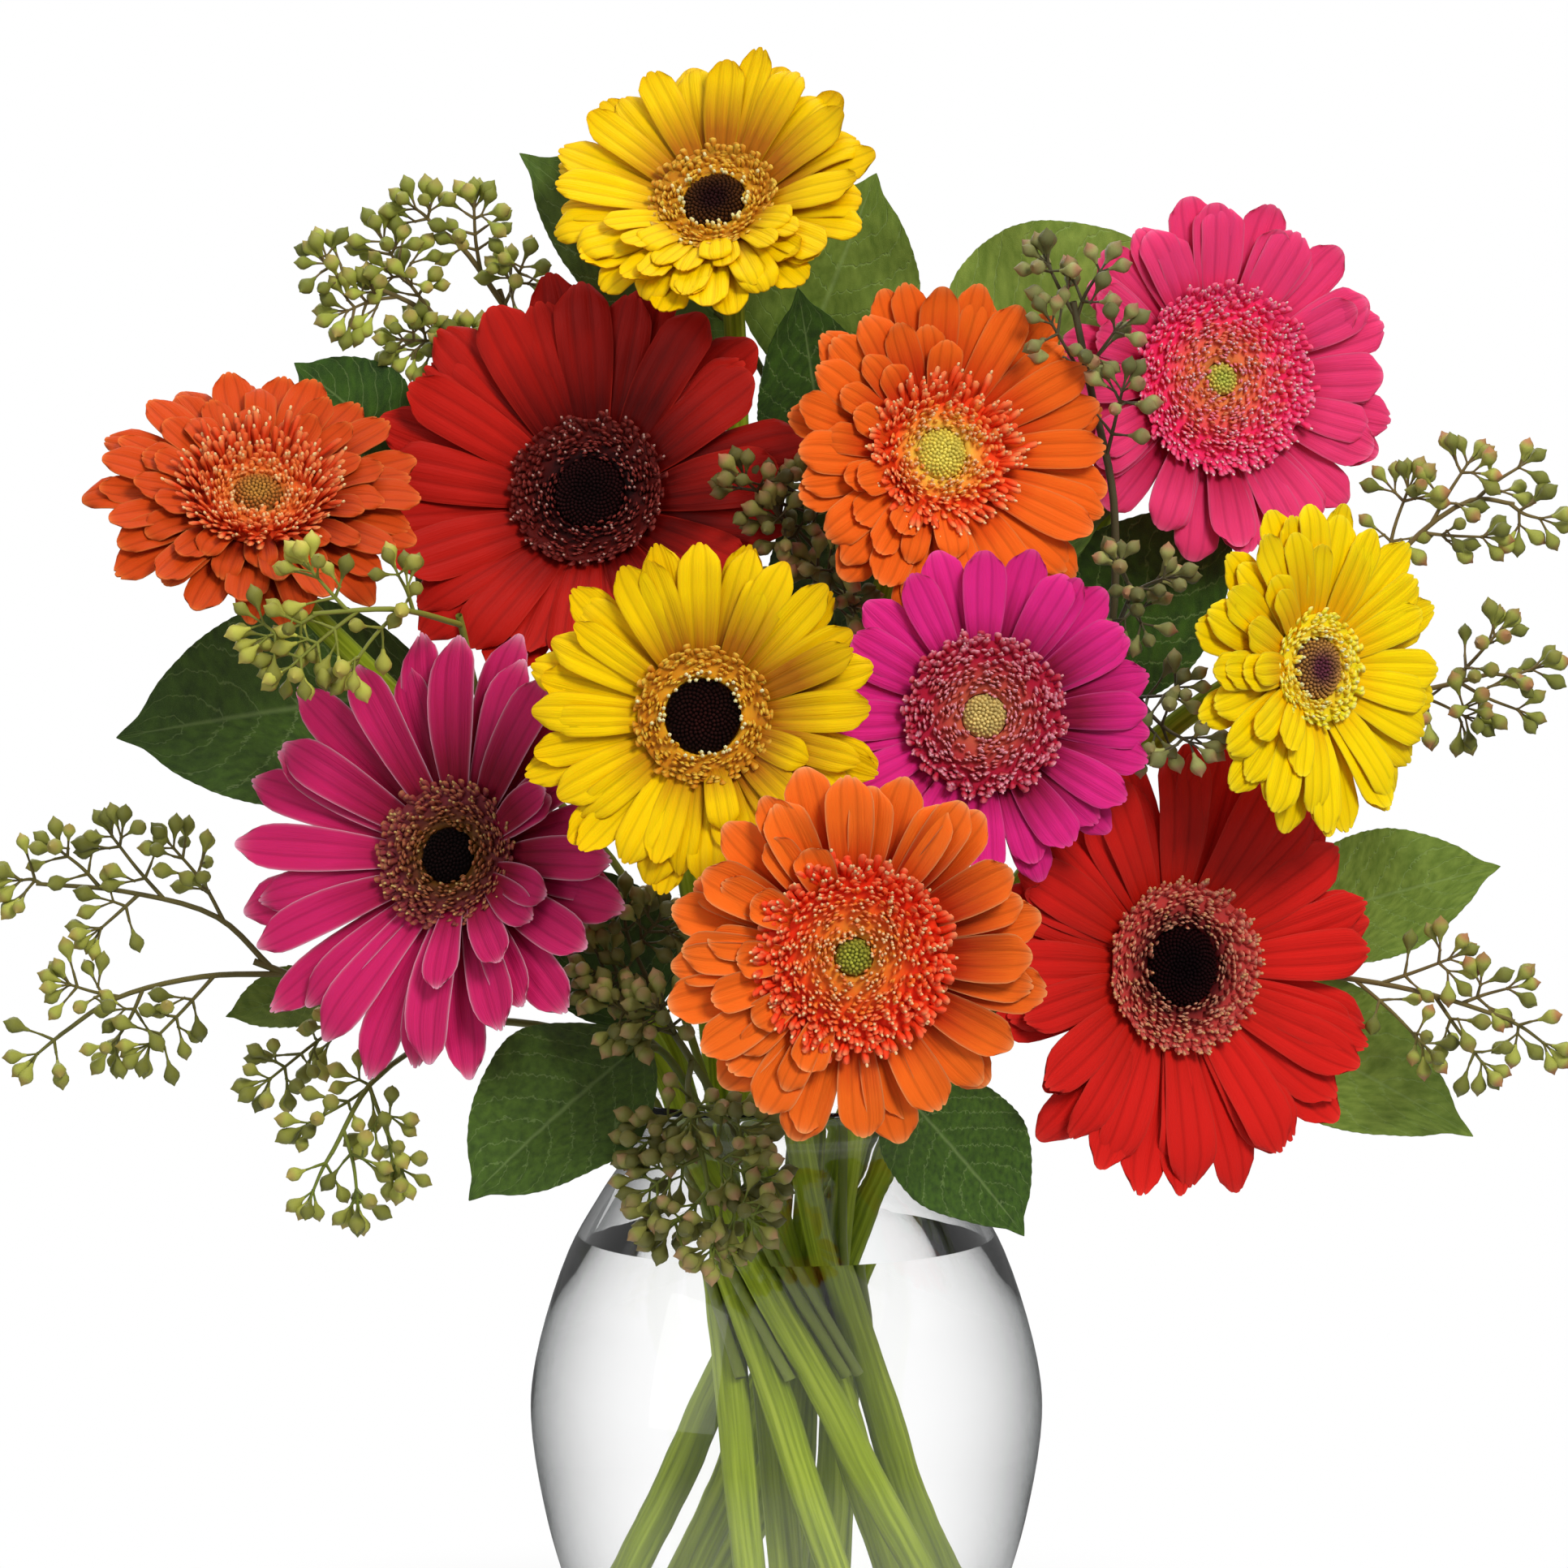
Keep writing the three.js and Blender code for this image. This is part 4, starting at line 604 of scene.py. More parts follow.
def broad_leaf():
    """Evergreen leaves, leathery and waxed: a pale midrib, side veins 4 to 11 mm apart, fine net
    veins pressed into the face, a duller back, and woody stems."""
    material, tree, (across, along, pale), kind = finish("broad_leaf", Specular_IOR_Level=0.3)
    side = add(tree, "Math", {0: across}, operation="ABSOLUTE")
    # Side veins leave the midrib at a slant, curve towards the tip and stray a little
    swept = add(tree, "Math", {0: side, 1: VEIN_CURVE}, operation="POWER")
    slant = add(tree, "Math", {0: swept, 1: -VEIN_SLANT, 2: along}, operation="MULTIPLY_ADD")
    stray = add(tree, "TexNoise", {"Scale": 60.0, "Detail": 2.0})
    strayed = add(tree, "Math", {0: stray, 1: 0.07, 2: slant}, operation="MULTIPLY_ADD")
    count = add(tree, "Math", {0: strayed, 1: SIDE_VEINS}, operation="MULTIPLY")
    saw = add(tree, "Math", {0: count, 1: 0.5}, operation="PINGPONG")
    vein = add(tree, "MapRange", {"Value": saw, "From Max": 0.06, "To Min": 1.0, "To Max": 0.0},
               interpolation_type="SMOOTHSTEP")
    mid = add(tree, "MapRange", {"Value": side, "From Max": 0.045, "To Min": 1.0, "To Max": 0.0},
              interpolation_type="SMOOTHSTEP")
    lines = add(tree, "Math", {0: vein, 1: mid}, operation="MAXIMUM")
    # Net veins, cells of about 2 mm
    net = add(tree, "TexVoronoi", {"Scale": 420.0}, feature="DISTANCE_TO_EDGE")
    mesh = add(tree, "MapRange", {"Value": net.outputs[0], "From Max": 0.12, "To Min": 1.0,
                                  "To Max": 0.0})
    # The green and the wax change over about 20 mm
    cloud = add(tree, "TexNoise", {"Scale": 45.0, "Detail": 4.0})
    # The leaf's paleness mixes a dark and a light green: partly its own tone, partly painted light
    # and shade
    dark = add(tree, "ValToRGB", {0: cloud}, stops=[(0.3, "#27401a"), (0.7, "#40621f")])
    light = add(tree, "ValToRGB", {0: cloud}, stops=[(0.3, "#6a842e"), (0.7, "#8ea446")])
    blade = add(tree, "MixRGB", {"Fac": pale, "Color1": dark, "Color2": light})
    soft = add(tree, "Math", {0: mesh, 1: 0.12}, operation="MULTIPLY")
    netted = add(tree, "MixRGB", {"Fac": soft, "Color1": blade, "Color2": "#8ca860"})
    strong = add(tree, "Math", {0: lines, 1: 0.3}, operation="MULTIPLY")
    veined = add(tree, "MixRGB", {"Fac": strong, "Color1": netted, "Color2": "#9cb470"})
    is_back = add(tree, "Math", {0: kind, 1: 1.5}, operation="GREATER_THAN")
    fade = add(tree, "Math", {0: is_back, 1: 0.45}, operation="MULTIPLY")
    backed = add(tree, "MixRGB", {"Fac": fade, "Color1": veined, "Color2": "#8aa06a"})
    dry = add(tree, "ValToRGB", {0: cloud}, stops=[(0.35, "#4e6026"), (0.65, "#665c32")])
    wood = add(tree, "MixRGB", {"Fac": in_neck(tree), "Color1": dry, "Color2": WET_BARK})
    is_wood = add(tree, "Math", {0: kind, 1: 0.5}, operation="LESS_THAN")
    whole = add(tree, "MixRGB", {"Fac": is_wood, "Color1": backed, "Color2": wood})
    fine = add(tree, "Math", {0: mesh, 1: -0.25}, operation="MULTIPLY")
    press = add(tree, "Math", {0: lines, 1: -1.0, 2: fine}, operation="MULTIPLY_ADD")
    return surface(material, whole, cloud, (0.3, 0.5), 0.5, 0.5, press)


def eucalyptus_seed(name, colours):
    """Seeded eucalyptus: waxy green buds with a lighter dusty bloom and a coloured cap,
    on thin brown twigs with rough bark."""
    bud, cap, bark = colours
    material, tree, (_, along, chance), kind = finish(name, Specular_IOR_Level=0.45)
    # Spots about 1 mm across
    spots = add(tree, "TexNoise", {"Scale": 900.0, "Detail": 3.0})
    tone = add(tree, "MapRange", {"Value": chance, "To Min": 0.42, "To Max": 1.3})
    green = add(tree, "MixRGB", {"Fac": spots, "Color1": bud, "Color2": "#d0cc6c"})
    quiet = add(tree, "MixRGB", {"Fac": 0.45, "Color1": bud, "Color2": green})
    capped = add(tree, "MapRange", {"Value": along, "From Min": 0.62, "From Max": 0.84,
                                    "To Max": 0.8})
    some = add(tree, "MapRange", {"Value": chance, "From Min": 0.2, "From Max": 0.7})
    much = add(tree, "Math", {0: capped, 1: some}, operation="MULTIPLY")
    topped = add(tree, "MixRGB", {"Fac": much, "Color1": quiet, "Color2": cap})
    toned = add(tree, "MixRGB", {"Fac": 1.0, "Color1": topped, "Color2": tone},
                blend_type="MULTIPLY")
    mossy = add(tree, "Math", {0: spots, 1: 0.5}, operation="MULTIPLY")
    dry = add(tree, "MixRGB", {"Fac": mossy, "Color1": bark, "Color2": bud})
    twig = add(tree, "MixRGB", {"Fac": in_neck(tree), "Color1": dry, "Color2": WET_BARK})
    whole = add(tree, "MixRGB", {"Fac": kind, "Color1": twig, "Color2": toned})
    return surface(material, whole, spots, (0.25, 0.6), 0.35, 0.4)


def clear_body(name, ior, swell, depth):
    """A clear body that lets lamps through: its surface waves a little, and where it is level
    it is seen straight through."""
    material, tree, _, level = finish(
        name, Base_Color=linear("#ffffff"), Roughness=0.0, Transmission_Weight=1.0, IOR=ior,
        Specular_IOR_Level=0.2)
    shader = tree.nodes["Principled BSDF"]
    wave = add(tree, "TexNoise", {"Scale": swell, "Detail": 0.0})
    relief = add(tree, "Bump", {"Height": wave, "Strength": 0.1, "Distance": depth * MM})
    tree.links.new(relief.outputs[0], shader.inputs["Normal"])
    ray = add(tree, "LightPath")
    open_air = add(tree, "BsdfTransparent", {"Color": "#fbfcfc"})
    passed = add(tree, "Math", {0: ray.outputs["Is Shadow Ray"], 1: level}, operation="MAXIMUM")
    both = add(tree, "MixShader", {0: passed, 1: shader, 2: open_air})
    tree.links.new(both.outputs[0], tree.nodes["Material Output"].inputs["Surface"])
    return material, tree, shader


def blown_glass():
    """Blown soda-lime glass, clear and heavy at the foot: a faint wave in the wall bends what is
    behind it, and under the neck it greys towards its edges, where light crosses more of it."""
    material, tree, shader = clear_body("blown_glass", 1.5, 16, 0.3)
    slant = add(tree, "LayerWeight", {"Blend": 0.5})
    depth = add(tree, "MapRange", {"Value": slant.outputs["Facing"], "From Min": 0.05},
                interpolation_type="SMOOTHSTEP")
    below = add(tree, "Math", {0: depth, 1: in_neck(tree)}, operation="MULTIPLY")
    tint = add(tree, "MixRGB", {"Fac": below, "Color1": "#ffffff", "Color2": "#424848"})
    tree.links.new(tint.outputs[0], shader.inputs["Base Color"])
    return material


# Stems: spots in the neck pushed apart until every stem clears the others, as in the source

def bloom_frame(head):
    """The bloom's middle, its right, its up and the way that it faces."""
    turn, tip = math.radians(head["turn"]), math.radians(head["tip"])
    flat = math.cos(tip)
    out = np.array([math.sin(turn) * flat, -math.cos(turn) * flat, math.sin(tip)])
    right = unit(np.cross([0, 0, 1], out))
    return np.array(head["at"], float), right, np.cross(out, right), out


def place(head, x, y, w):
    """Spots in the bloom's own measures: to its right, up and out of its face."""
    at, right, up, out = head["frame"]
    x, y, w = (np.asarray(v, float)[..., None] for v in (x, y, w))
    return at + x * right + y * up + w * out


def neck_spots(aims, radii):
    """Where each stem passes the neck on its way to what it aims at."""
    spots = []
    for aim in aims:
        pull = SPREAD * (NECK_Z - FOCUS_Z) / max(aim[2] - FOCUS_Z, 20)
        spots.append([aim[0] * pull, aim[1] * pull])
    for _ in range(600):
        for i, a in enumerate(spots):
            for j in range(i + 1, len(spots)):
                b = spots[j]
                dx, dy = b[0] - a[0], b[1] - a[1]
                far = math.hypot(dx, dy) + 1e-9
                short = (radii[i] + radii[j] + STEM_CLEAR) / CROSS_SCALE - far
                if short > 0:
                    push = 0.5 * short / far
                    a[0] -= dx * push
                    a[1] -= dy * push
                    b[0] += dx * push
                    b[1] += dy * push
        for spot, r in zip(spots, radii):
            far = math.hypot(*spot)
            if far > NECK_REACH - r:
                spot[0] *= (NECK_REACH - r) / far
                spot[1] *= (NECK_REACH - r) / far
    return spots


def swung(spot, scale, degrees, z):
    """A spot of the neck, scaled and turned about the vase's middle, at height z."""
    c = math.cos(math.radians(degrees)) * scale
    s = math.sin(math.radians(degrees)) * scale
    return np.array([spot[0] * c - spot[1] * s, spot[0] * s + spot[1] * c, z])


def bezier(a, b, c, d, steps):
    t = np.linspace(0, 1, steps + 1)[:, None]
    return a * (1 - t) ** 3 + 3 * b * t * (1 - t) ** 2 + 3 * c * t * t * (1 - t) + d * t ** 3


def in_vase(spot, depth, steps, rise):
    """From the foot straight through the water and with a bend up to the neck, and the way on."""
    bend = swung(spot, BEND_SCALE, BEND_TURN, BEND_Z)
    foot = bend + (swung(spot, FOOT_SCALE, FOOT_TURN, FOOT_Z) - bend) * depth
    neck = np.array([*spot, NECK_Z])
    leave = unit(unit(neck - bend) + [0, 0, rise])
    straight = foot + (bend - foot) * np.linspace(0, 1, steps)[:, None]
    curve = bezier(bend, bend + BEND_HANDLE * unit(bend - foot), neck - BEND_HANDLE * leave,
                   neck, BEND_STEPS)
    return np.concatenate([straight, curve[1:]]), leave


def gerbera_run(head, spot):
    """From the foot up through the neck and round into the back of the bloom."""
    low, leave = in_vase(spot, 1, STEM_STEPS, 0.5)
    neck, end = low[-1], place(head, 0, 0, STEM_END)
    reach = np.linalg.norm(end - neck)
    back = place(head, 0, 0, STEM_END - min(0.3 * reach, 30))
    high = bezier(neck, neck + 0.35 * reach * leave, back, end, 18)
    return np.concatenate([low, high[1:]])


def smooth_path(points, steps):
    """A curve through the points, as the source's centripetal one, steps to a stretch."""
    p = [np.asarray(q, float) for q in points]
    p = [2 * p[0] - p[1], *p, 2 * p[-1] - p[-2]]
    out = [p[1]]
    for i in range(1, len(p) - 2):
        a, b, c, d = p[i - 1:i + 3]
        g, h, k = (max(np.linalg.norm(v) ** 0.5, 1e-4) for v in (b - a, c - b, d - c))
        m = ((b - a) / g - (c - a) / (g + h) + (c - b) / h) * h
        n = ((c - b) / h - (d - b) / (h + k) + (d - c) / k) * h
        for j in range(1, steps + 1):
            t = j / steps
            out.append((2 * t ** 3 - 3 * t ** 2 + 1) * b + (t ** 3 - 2 * t ** 2 + t) * m
                       + (3 * t ** 2 - 2 * t ** 3) * c + (t ** 3 - t ** 2) * n)
    return np.array(out)


def woody_run(spot, run):
    """The path from foot to tip, and the place in it where the stem leaves the neck."""
    low, _ = in_vase(spot, WOODY_DEPTH, WOODY_STEPS, 0)
    high = smooth_path([low[WOODY_STEPS - 1], low[-1], *run], RUN_STEPS)[RUN_STEPS + 1:]
    return np.concatenate([low, high]), len(low) - 1


def on_path(path, share):
    """The spot at this share of a path's length."""
    steps = np.linalg.norm(np.diff(path, axis=0), axis=1)
    far = np.concatenate([[0], np.cumsum(steps)])
    return np.array([np.interp(share * far[-1], far, path[:, i]) for i in range(3)])


# Blooms

def petal_sheets(cutting, head, draws, root, level):
    """A row of ray petals. draws has a line for each: angle, reach, lift, twist, width, chance."""
    angle, reach, lift, twist, wide, chance = (c[:, None, None] for c in np.array(draws).T)
    # The rows of the mesh lie closer together towards the tip, where the outline rounds in
    t, s = np.meshgrid(1 - (1 - np.linspace(0, 1, 11)) ** 1.35, np.linspace(-1, 1, 13),
                       indexing="ij")
    phase = chance * 40
    long = reach - root
    wide = wide * head.get("slim", 1)
    # Outline: it swells up to 0.72 of the length, then rounds in from the taper on
    point = head["point"] * (0.85 + 0.3 * np.sin(phase * 3) ** 2)
    blunt = 0.16 + 0.66 * point
    taper = 0.56 + 0.34 * point
    swell = 0.46 + 0.54 * np.sin(np.pi / 2 * np.minimum(t / 0.72, 1))
    late = np.clip((t - taper) / (1 - taper), 0, 1)
    half = wide / 2 * swell * np.sqrt(1 - late ** 2.6 * (1 - blunt ** 2))
    # Tip: round, and on many petals with a small notch where each groove ends
    notch = 0.018 * (0.4 + np.sin(phase * 5)) * np.exp(-((np.abs(s) - 1 / 3) / 0.1) ** 2)
    tip = (0.05 + 0.04 * point) * np.abs(s) ** 2.4 + np.maximum(notch, 0)
    run = t * (1 - t ** 4 * tip)
    off = s * half + 0.035 * np.sin(phase) * long * t ** 2
    # Relief: two grooves and raised edges, flat at both ends, a rippled rim, a falling tip
    ends = np.sin(np.pi * np.clip(t, 0.04, 0.96)) ** 0.6
    groove = head["groove"] * wide * (np.abs(np.cos(GROOVE_WAVE * s)) - 0.6) * ends
    roll = head["roll"] * half * s ** 2 * (0.6 + 0.8 * np.sin(phase * 2) ** 2) * ends
    ripple = 0.07 * half * s * np.abs(s) * np.sin(2 * np.pi * 1.4 * t + phase)
    fall = -head["droop"] * long * late ** 2 * (0.3 + 1.4 * np.sin(phase * 1.7))
    w = (level + long * (run * np.sin(lift) + 0.04 * np.sin(np.pi * run)) + s * half * twist
         + groove + roll + ripple + fall)
    r = root + long * run * np.cos(lift)
    x = r * np.cos(angle) - off * np.sin(angle)
    y = r * np.sin(angle) + off * np.cos(angle)
    half_thick = 0.22 * (1 - 0.5 * np.abs(s)) + 0.03
    # Painted shade: petals on one side of the bloom get more of the root's colour, and so do the
    # higher rows, on top of a share that each petal draws at random
    shade_and_tone = (0.4 * chance + 0.3 * (1 + np.cos(angle - math.radians(head["shade_and_tone"])))
             + 0.2 * (level > 1.7))
    cutting.blades(place(head, x, y, w + half_thick), place(head, x, y, w - half_thick),
                   (s, t, shade_and_tone))


def on_inner_side(head, angle):
    """Whether the bloom has short inner petals at this angle."""
    facing, spread = (math.radians(d) for d in head["inner"])
    return math.cos(angle - facing) >= math.cos(spread)


def held_short(head, angle):
    """A petal's share of the full reach: less on the side where the bloom's petals are short."""
    side = math.cos(angle - math.radians(head["short_at"]))
    return 1 - head["short_by"] * max(side, 0)


def solid_layers(head, more):
    """The three layers of petals that the solids have, as (draws, root, level)."""
    draw = seeded(seed_of(head["id"]))
    layers = []
    for layer, (rise, share, slim) in enumerate(LAYERS):
        count = head["counts"][layer]
        rows = []
        for k in range(count):
            middle = 2 * math.pi * (k + 0.5 * layer + 0.5) / count
            angle = middle + (draw() - 0.5) * 0.09
            reach = head["reach"] * share * held_short(head, angle) * (0.99 + 0.06 * draw())
            lift = math.radians(head["cup"] + rise) + (draw() - 0.5) * 0.06
            twist = (draw() - 0.5) * 0.1
            wide = head["wide"] * slim * (0.93 + 0.14 * draw())
            if layer < 2 or on_inner_side(head, middle):
                rows.append((angle, reach, lift, twist, wide, more.random()))
        layers.append((rows, head["ring"] * PETAL_ROOT - layer * 0.8 - 2, layer * LAYER_STEP))
    return layers


def further_layers(head, more):
    """The petals between those layers, in the same form. High ones grow on the inner side only."""
    layers = []
    for count, share, rise, slim, level in head["rows"]:
        start = more.random()
        rows = []
        for k in range(count):
            angle = 2 * math.pi * (k + start) / count + (more.random() - 0.5) * 0.16
            reach = head["reach"] * share * held_short(head, angle) * (0.93 + 0.12 * more.random())
            lift = math.radians(head["cup"] + rise) + (more.random() - 0.5) * 0.1
            if level < 1.9 or on_inner_side(head, angle):
                rows.append((angle, reach, lift, (more.random() - 0.5) * 0.25,
                             head["wide"] * slim * (0.88 + 0.2 * more.random()), more.random()))
        layers.append((rows, head["ring"] * PETAL_ROOT - level * 0.6 - 2, level))
    return layers


def ray_petals(head):
    cutting = Cutting()
    more = np.random.default_rng(seed_of(head["id"]))
    for rows, root, level in solid_layers(head, more) + further_layers(head, more):
        if rows:
            petal_sheets(cutting, head, rows, root, level)
    core = head["ring"] * PETAL_ROOT
    seat = [(0.1, -0.5), (core - 1, -0.5), (core - 0.6, 1.2), (core - 2.4, 3.1), (0.1, 3.1)]
    lathe(cutting, head, seat, 28, (0, 0, 0.5))
    cutting.piece("petals_" + head["id"], ray_petal(head), "petal_" + head["id"],
                  "petals_" + head["id"])


def lathe(cutting, head, profile, sides, growth, kind=0):
    """A part of the bloom turned about its middle, from (radius, height)."""
    turn = 2 * np.pi * np.arange(sides) / sides
    r, w = (np.array(c)[:, None] for c in zip(*profile))
    grid = place(head, r * np.cos(turn), r * np.sin(turn), w + 0 * turn)
    cutting.sheets(grid[None], growth, kind, closed=True)


def floret_ring(head):
    cutting = Cutting()
    more = np.random.default_rng(seed_of(head["id"]) + 1)
    eye, ring = head["eye"] + 0.3, head["ring"]
    core = ring * PETAL_ROOT - 1.6
    slope = math.tan(math.radians(head["cup"] + 20))

    def seat(r):
        return np.maximum(HEART + np.maximum(0, r - core) * slope, HEART + 1.2)

    profile = [(eye, HEART), *[(r, seat(r)) for r in np.linspace(eye, ring, 7)],
               (ring, seat(ring) - 0.8)]
    across = [np.clip((r - eye) / (ring - eye), 0, 1) for r, _ in profile]
    lathe(cutting, head, profile, 40, (np.array(across)[None, :, None], 0.35, 0.4))
    # Each floret: its spot, then how it leans, how tall it is and how it swings to a side
    count = int((ring ** 2 - eye ** 2) * math.pi / FLORET_AREA)
    share = (np.arange(count) + 0.5) / count
    r = np.sqrt(eye ** 2 + (ring ** 2 - eye ** 2) * share) + (more.random(count) - 0.5) * 0.7
    a = np.arange(count) * GOLDEN_ANGLE + (more.random(count) - 0.5) * 0.5 / np.sqrt(share + 0.1)
    chance = more.random(count)
    lean = np.radians(-14 + 64 * share ** 0.9 + 22 * (more.random(count) - 0.5))
    tall = (2.2 + (head["tongue"] - 2.2) * share ** 1.6) * (0.7 + 0.6 * more.random(count))
    swing = (more.random(count) - 0.5) * 0.7
    # Its four-sided trumpet: places along it, and how wide and thin it is there
    u = np.array([0, 0.38, 0.74, 0.94, 1])
    wide = np.array([0.4, 0.54, 0.8, 0.66, 0.06]) * (0.95 + 0.35 * share[:, None])
    thin = np.array([0.42, 0.46, 0.38, 0.28, 0.05])
    bent = lean[:, None] * (0.35 + 0.85 * u)
    step = np.diff(u, prepend=0) * tall[:, None]
    out = r[:, None] + np.cumsum(step * np.sin(bent), axis=1)
    up = seat(r)[:, None] - 0.5 + np.cumsum(step * np.cos(bent), axis=1)
    side = (out - r[:, None]) * swing[:, None]
    turn = np.pi / 2 * np.arange(4)
    d = side[..., None] + wide[..., None] * np.cos(turn)
    n = thin[:, None] * np.sin(turn)
    rr = out[..., None] + n * np.cos(bent)[..., None]
    w = up[..., None] - n * np.sin(bent)[..., None]
    ca, sa = (f(a)[:, None, None] for f in (np.cos, np.sin))
    grid = place(head, rr * ca - d * sa, rr * sa + d * ca, w)
    cutting.sheets(grid, (share[:, None, None], u[None, :, None], chance[:, None, None]),
                   closed=True, flip=True)
    # Pollen beads stand on some lips
    near, midway, far, size = head["pollen"]
    some = more.random(count) < np.interp(share, (0.1, 0.2, 0.8, 0.92), (near, midway, midway, far))
    tips = grid[some, -1].mean(axis=1)
    ways = unit(tips - grid[some, -3].mean(axis=1) + head["frame"][3])
    bead = [(w * size, r * size) for w, r in ((0, 0.4), (1, 1), (2.5, 0.9), (3.3, 0.1))]
    cutting.rods(tips - 0.3 * ways, ways, bead, 5, (0, 0, chance[some][:, None, None]), 1)
    cutting.piece("florets_" + head["id"], floret_flesh(head), "floret_" + head["id"],
                  "florets_" + head["id"])


def eye_disc(head):
    cutting = Cutting()
    more = np.random.default_rng(seed_of(head["id"]) + 2)
    eye = head["eye"]
    # The eye's dome: its height above the heart at shares of its radius
    spots, heights = [0, 0.25, 0.6, 0.85, 1], [2.3, 2.6, 2.9, 2.3, 1.4]
    profile = [(eye, HEART), *[(max(eye * s, 0.05), HEART + h - 0.3)
                               for s, h in zip(spots[::-1], heights[::-1])]]
    lathe(cutting, head, profile, 32, (0.5, 0, 0.5))
    count = int(eye ** 2 * math.pi / BUD_AREA)
    share = np.sqrt((np.arange(count) + 0.5) / count)
    a = np.arange(count) * GOLDEN_ANGLE
    r = share * (eye - 0.4)
    w = HEART + np.interp(share, spots, heights) - 0.6
    start = place(head, r * np.cos(a), r * np.sin(a), w)
    way = (place(head, 0.35 * share * np.cos(a), 0.35 * share * np.sin(a), np.ones(count))
           - head["frame"][0]) + (more.random((count, 3)) - 0.5) * 0.25
    grown = np.array([0, 0.4, 0.8, 1])[None, :, None]
    cutting.rods(start, way, [(0, 0.5), (0.7, 0.56), (1.15, 0.36), (1.35, 0.04)], 5,
                 (share[:, None, None], grown, more.random(count)[:, None, None]))
    cutting.piece("eye_" + head["id"], disc_buds(head), "eye_" + head["id"], "eye_" + head["id"])


def stem_hairs(cutting, more, path, radii, count):
    """Fine hairs, under a millimetre long, stand out from the stem and lean up it."""
    along = more.random(count) * (len(path) - 1)
    low = along.astype(int)
    share = (along - low)[:, None]
    ahead = unit(path[low + 1] - path[low])
    out = unit(np.cross(ahead, more.normal(size=(count, 3))))
    foot = path[low] * (1 - share) + path[low + 1] * share + out * (radii[low] - 0.1)[:, None]
    cutting.rods(foot, out + 0.4 * ahead, [(0, 0.055), (0.85, 0.008)], 3,
                 (0, 0, more.random(count)[:, None, None]))


# The cup's side, as (share of its full width, height)
CUP_SIDE = [(0.4, -9.2), (0.62, -7.6), (0.84, -5.4), (0.95, -3.2), (1, -1.2)]


def flower_stem(head, spot, flesh):
    cutting = Cutting()
    more = np.random.default_rng(seed_of(head["id"]) + 3)
    run = gerbera_run(head, spot)
    # It tapers from the neck up
    neck = STEM_STEPS + BEND_STEPS - 1
    above = np.clip((np.arange(len(run)) - neck) / (len(run) - 1 - neck), 0, 1)
    radii = STEM_R - STEM_TAPER * above
    end = run[0] - 0.15 * unit(run[1] - run[0])
    cutting.tube([end, *run], [0.05, *radii], 16, more.random(), ridge=0.03)
    cup = head["ring"] * 0.78
    profile = [(2.6, -11.5), (3.2, -10.4), *[(cup * wide, w) for wide, w in CUP_SIDE],
               (cup * 0.9, -0.7)]
    lathe(cutting, head, profile, 32, (0, 0.5, more.random()), 1)
    # Bracts lie on the cup in rows, like narrow pointed scales, 0.3 mm thick
    count, thick = 15, 0.3
    widths, heights = np.array(CUP_SIDE).T
    t, s = np.meshgrid(np.linspace(0, 1, 6), np.linspace(-1, 1, 3), indexing="ij")
    for row, (low, long) in enumerate(((-8.4, 0.62), (-7.2, 0.85), (-5.8, 1.05))):
        a = (2 * np.pi * (np.arange(count) + 0.33 * row) / count)[:, None, None]
        w = low + (heights[-1] - low) * t * long
        r = np.interp(w, heights, cup * widths) + 0.35 + 0.5 * t ** 2 - 0.25 * s ** 2
        off = s * 1.9 * np.sqrt(1 - 0.97 * t ** 2.2) * (0.9 + 0.2 * np.sin(a * 7))
        x, y = r * np.cos(a) - off * np.sin(a), r * np.sin(a) + off * np.cos(a)
        growth = (a / math.tau, t, more.random((count, 1, 1)))
        inner = place(head, x * (1 - thick / r), y * (1 - thick / r), w + 0 * a)
        cutting.blades(place(head, x, y, w + 0 * a), inner, growth, (1, 1))
    stem_hairs(cutting, more, run[STEM_STEPS:], radii[STEM_STEPS:], 500)
    cutting.piece("stem_" + head["id"], flesh, "gerbera_stem", "stem_" + head["id"])


# Leaves

# A curve through a leaf's half width, as a share of the widest, at shares of its length
LEAF_OUTLINE = np.polyfit([0, 0.15, 0.38, 0.62, 0.84, 1], [0.03, 0.66, 1, 0.9, 0.46, 0], 5)


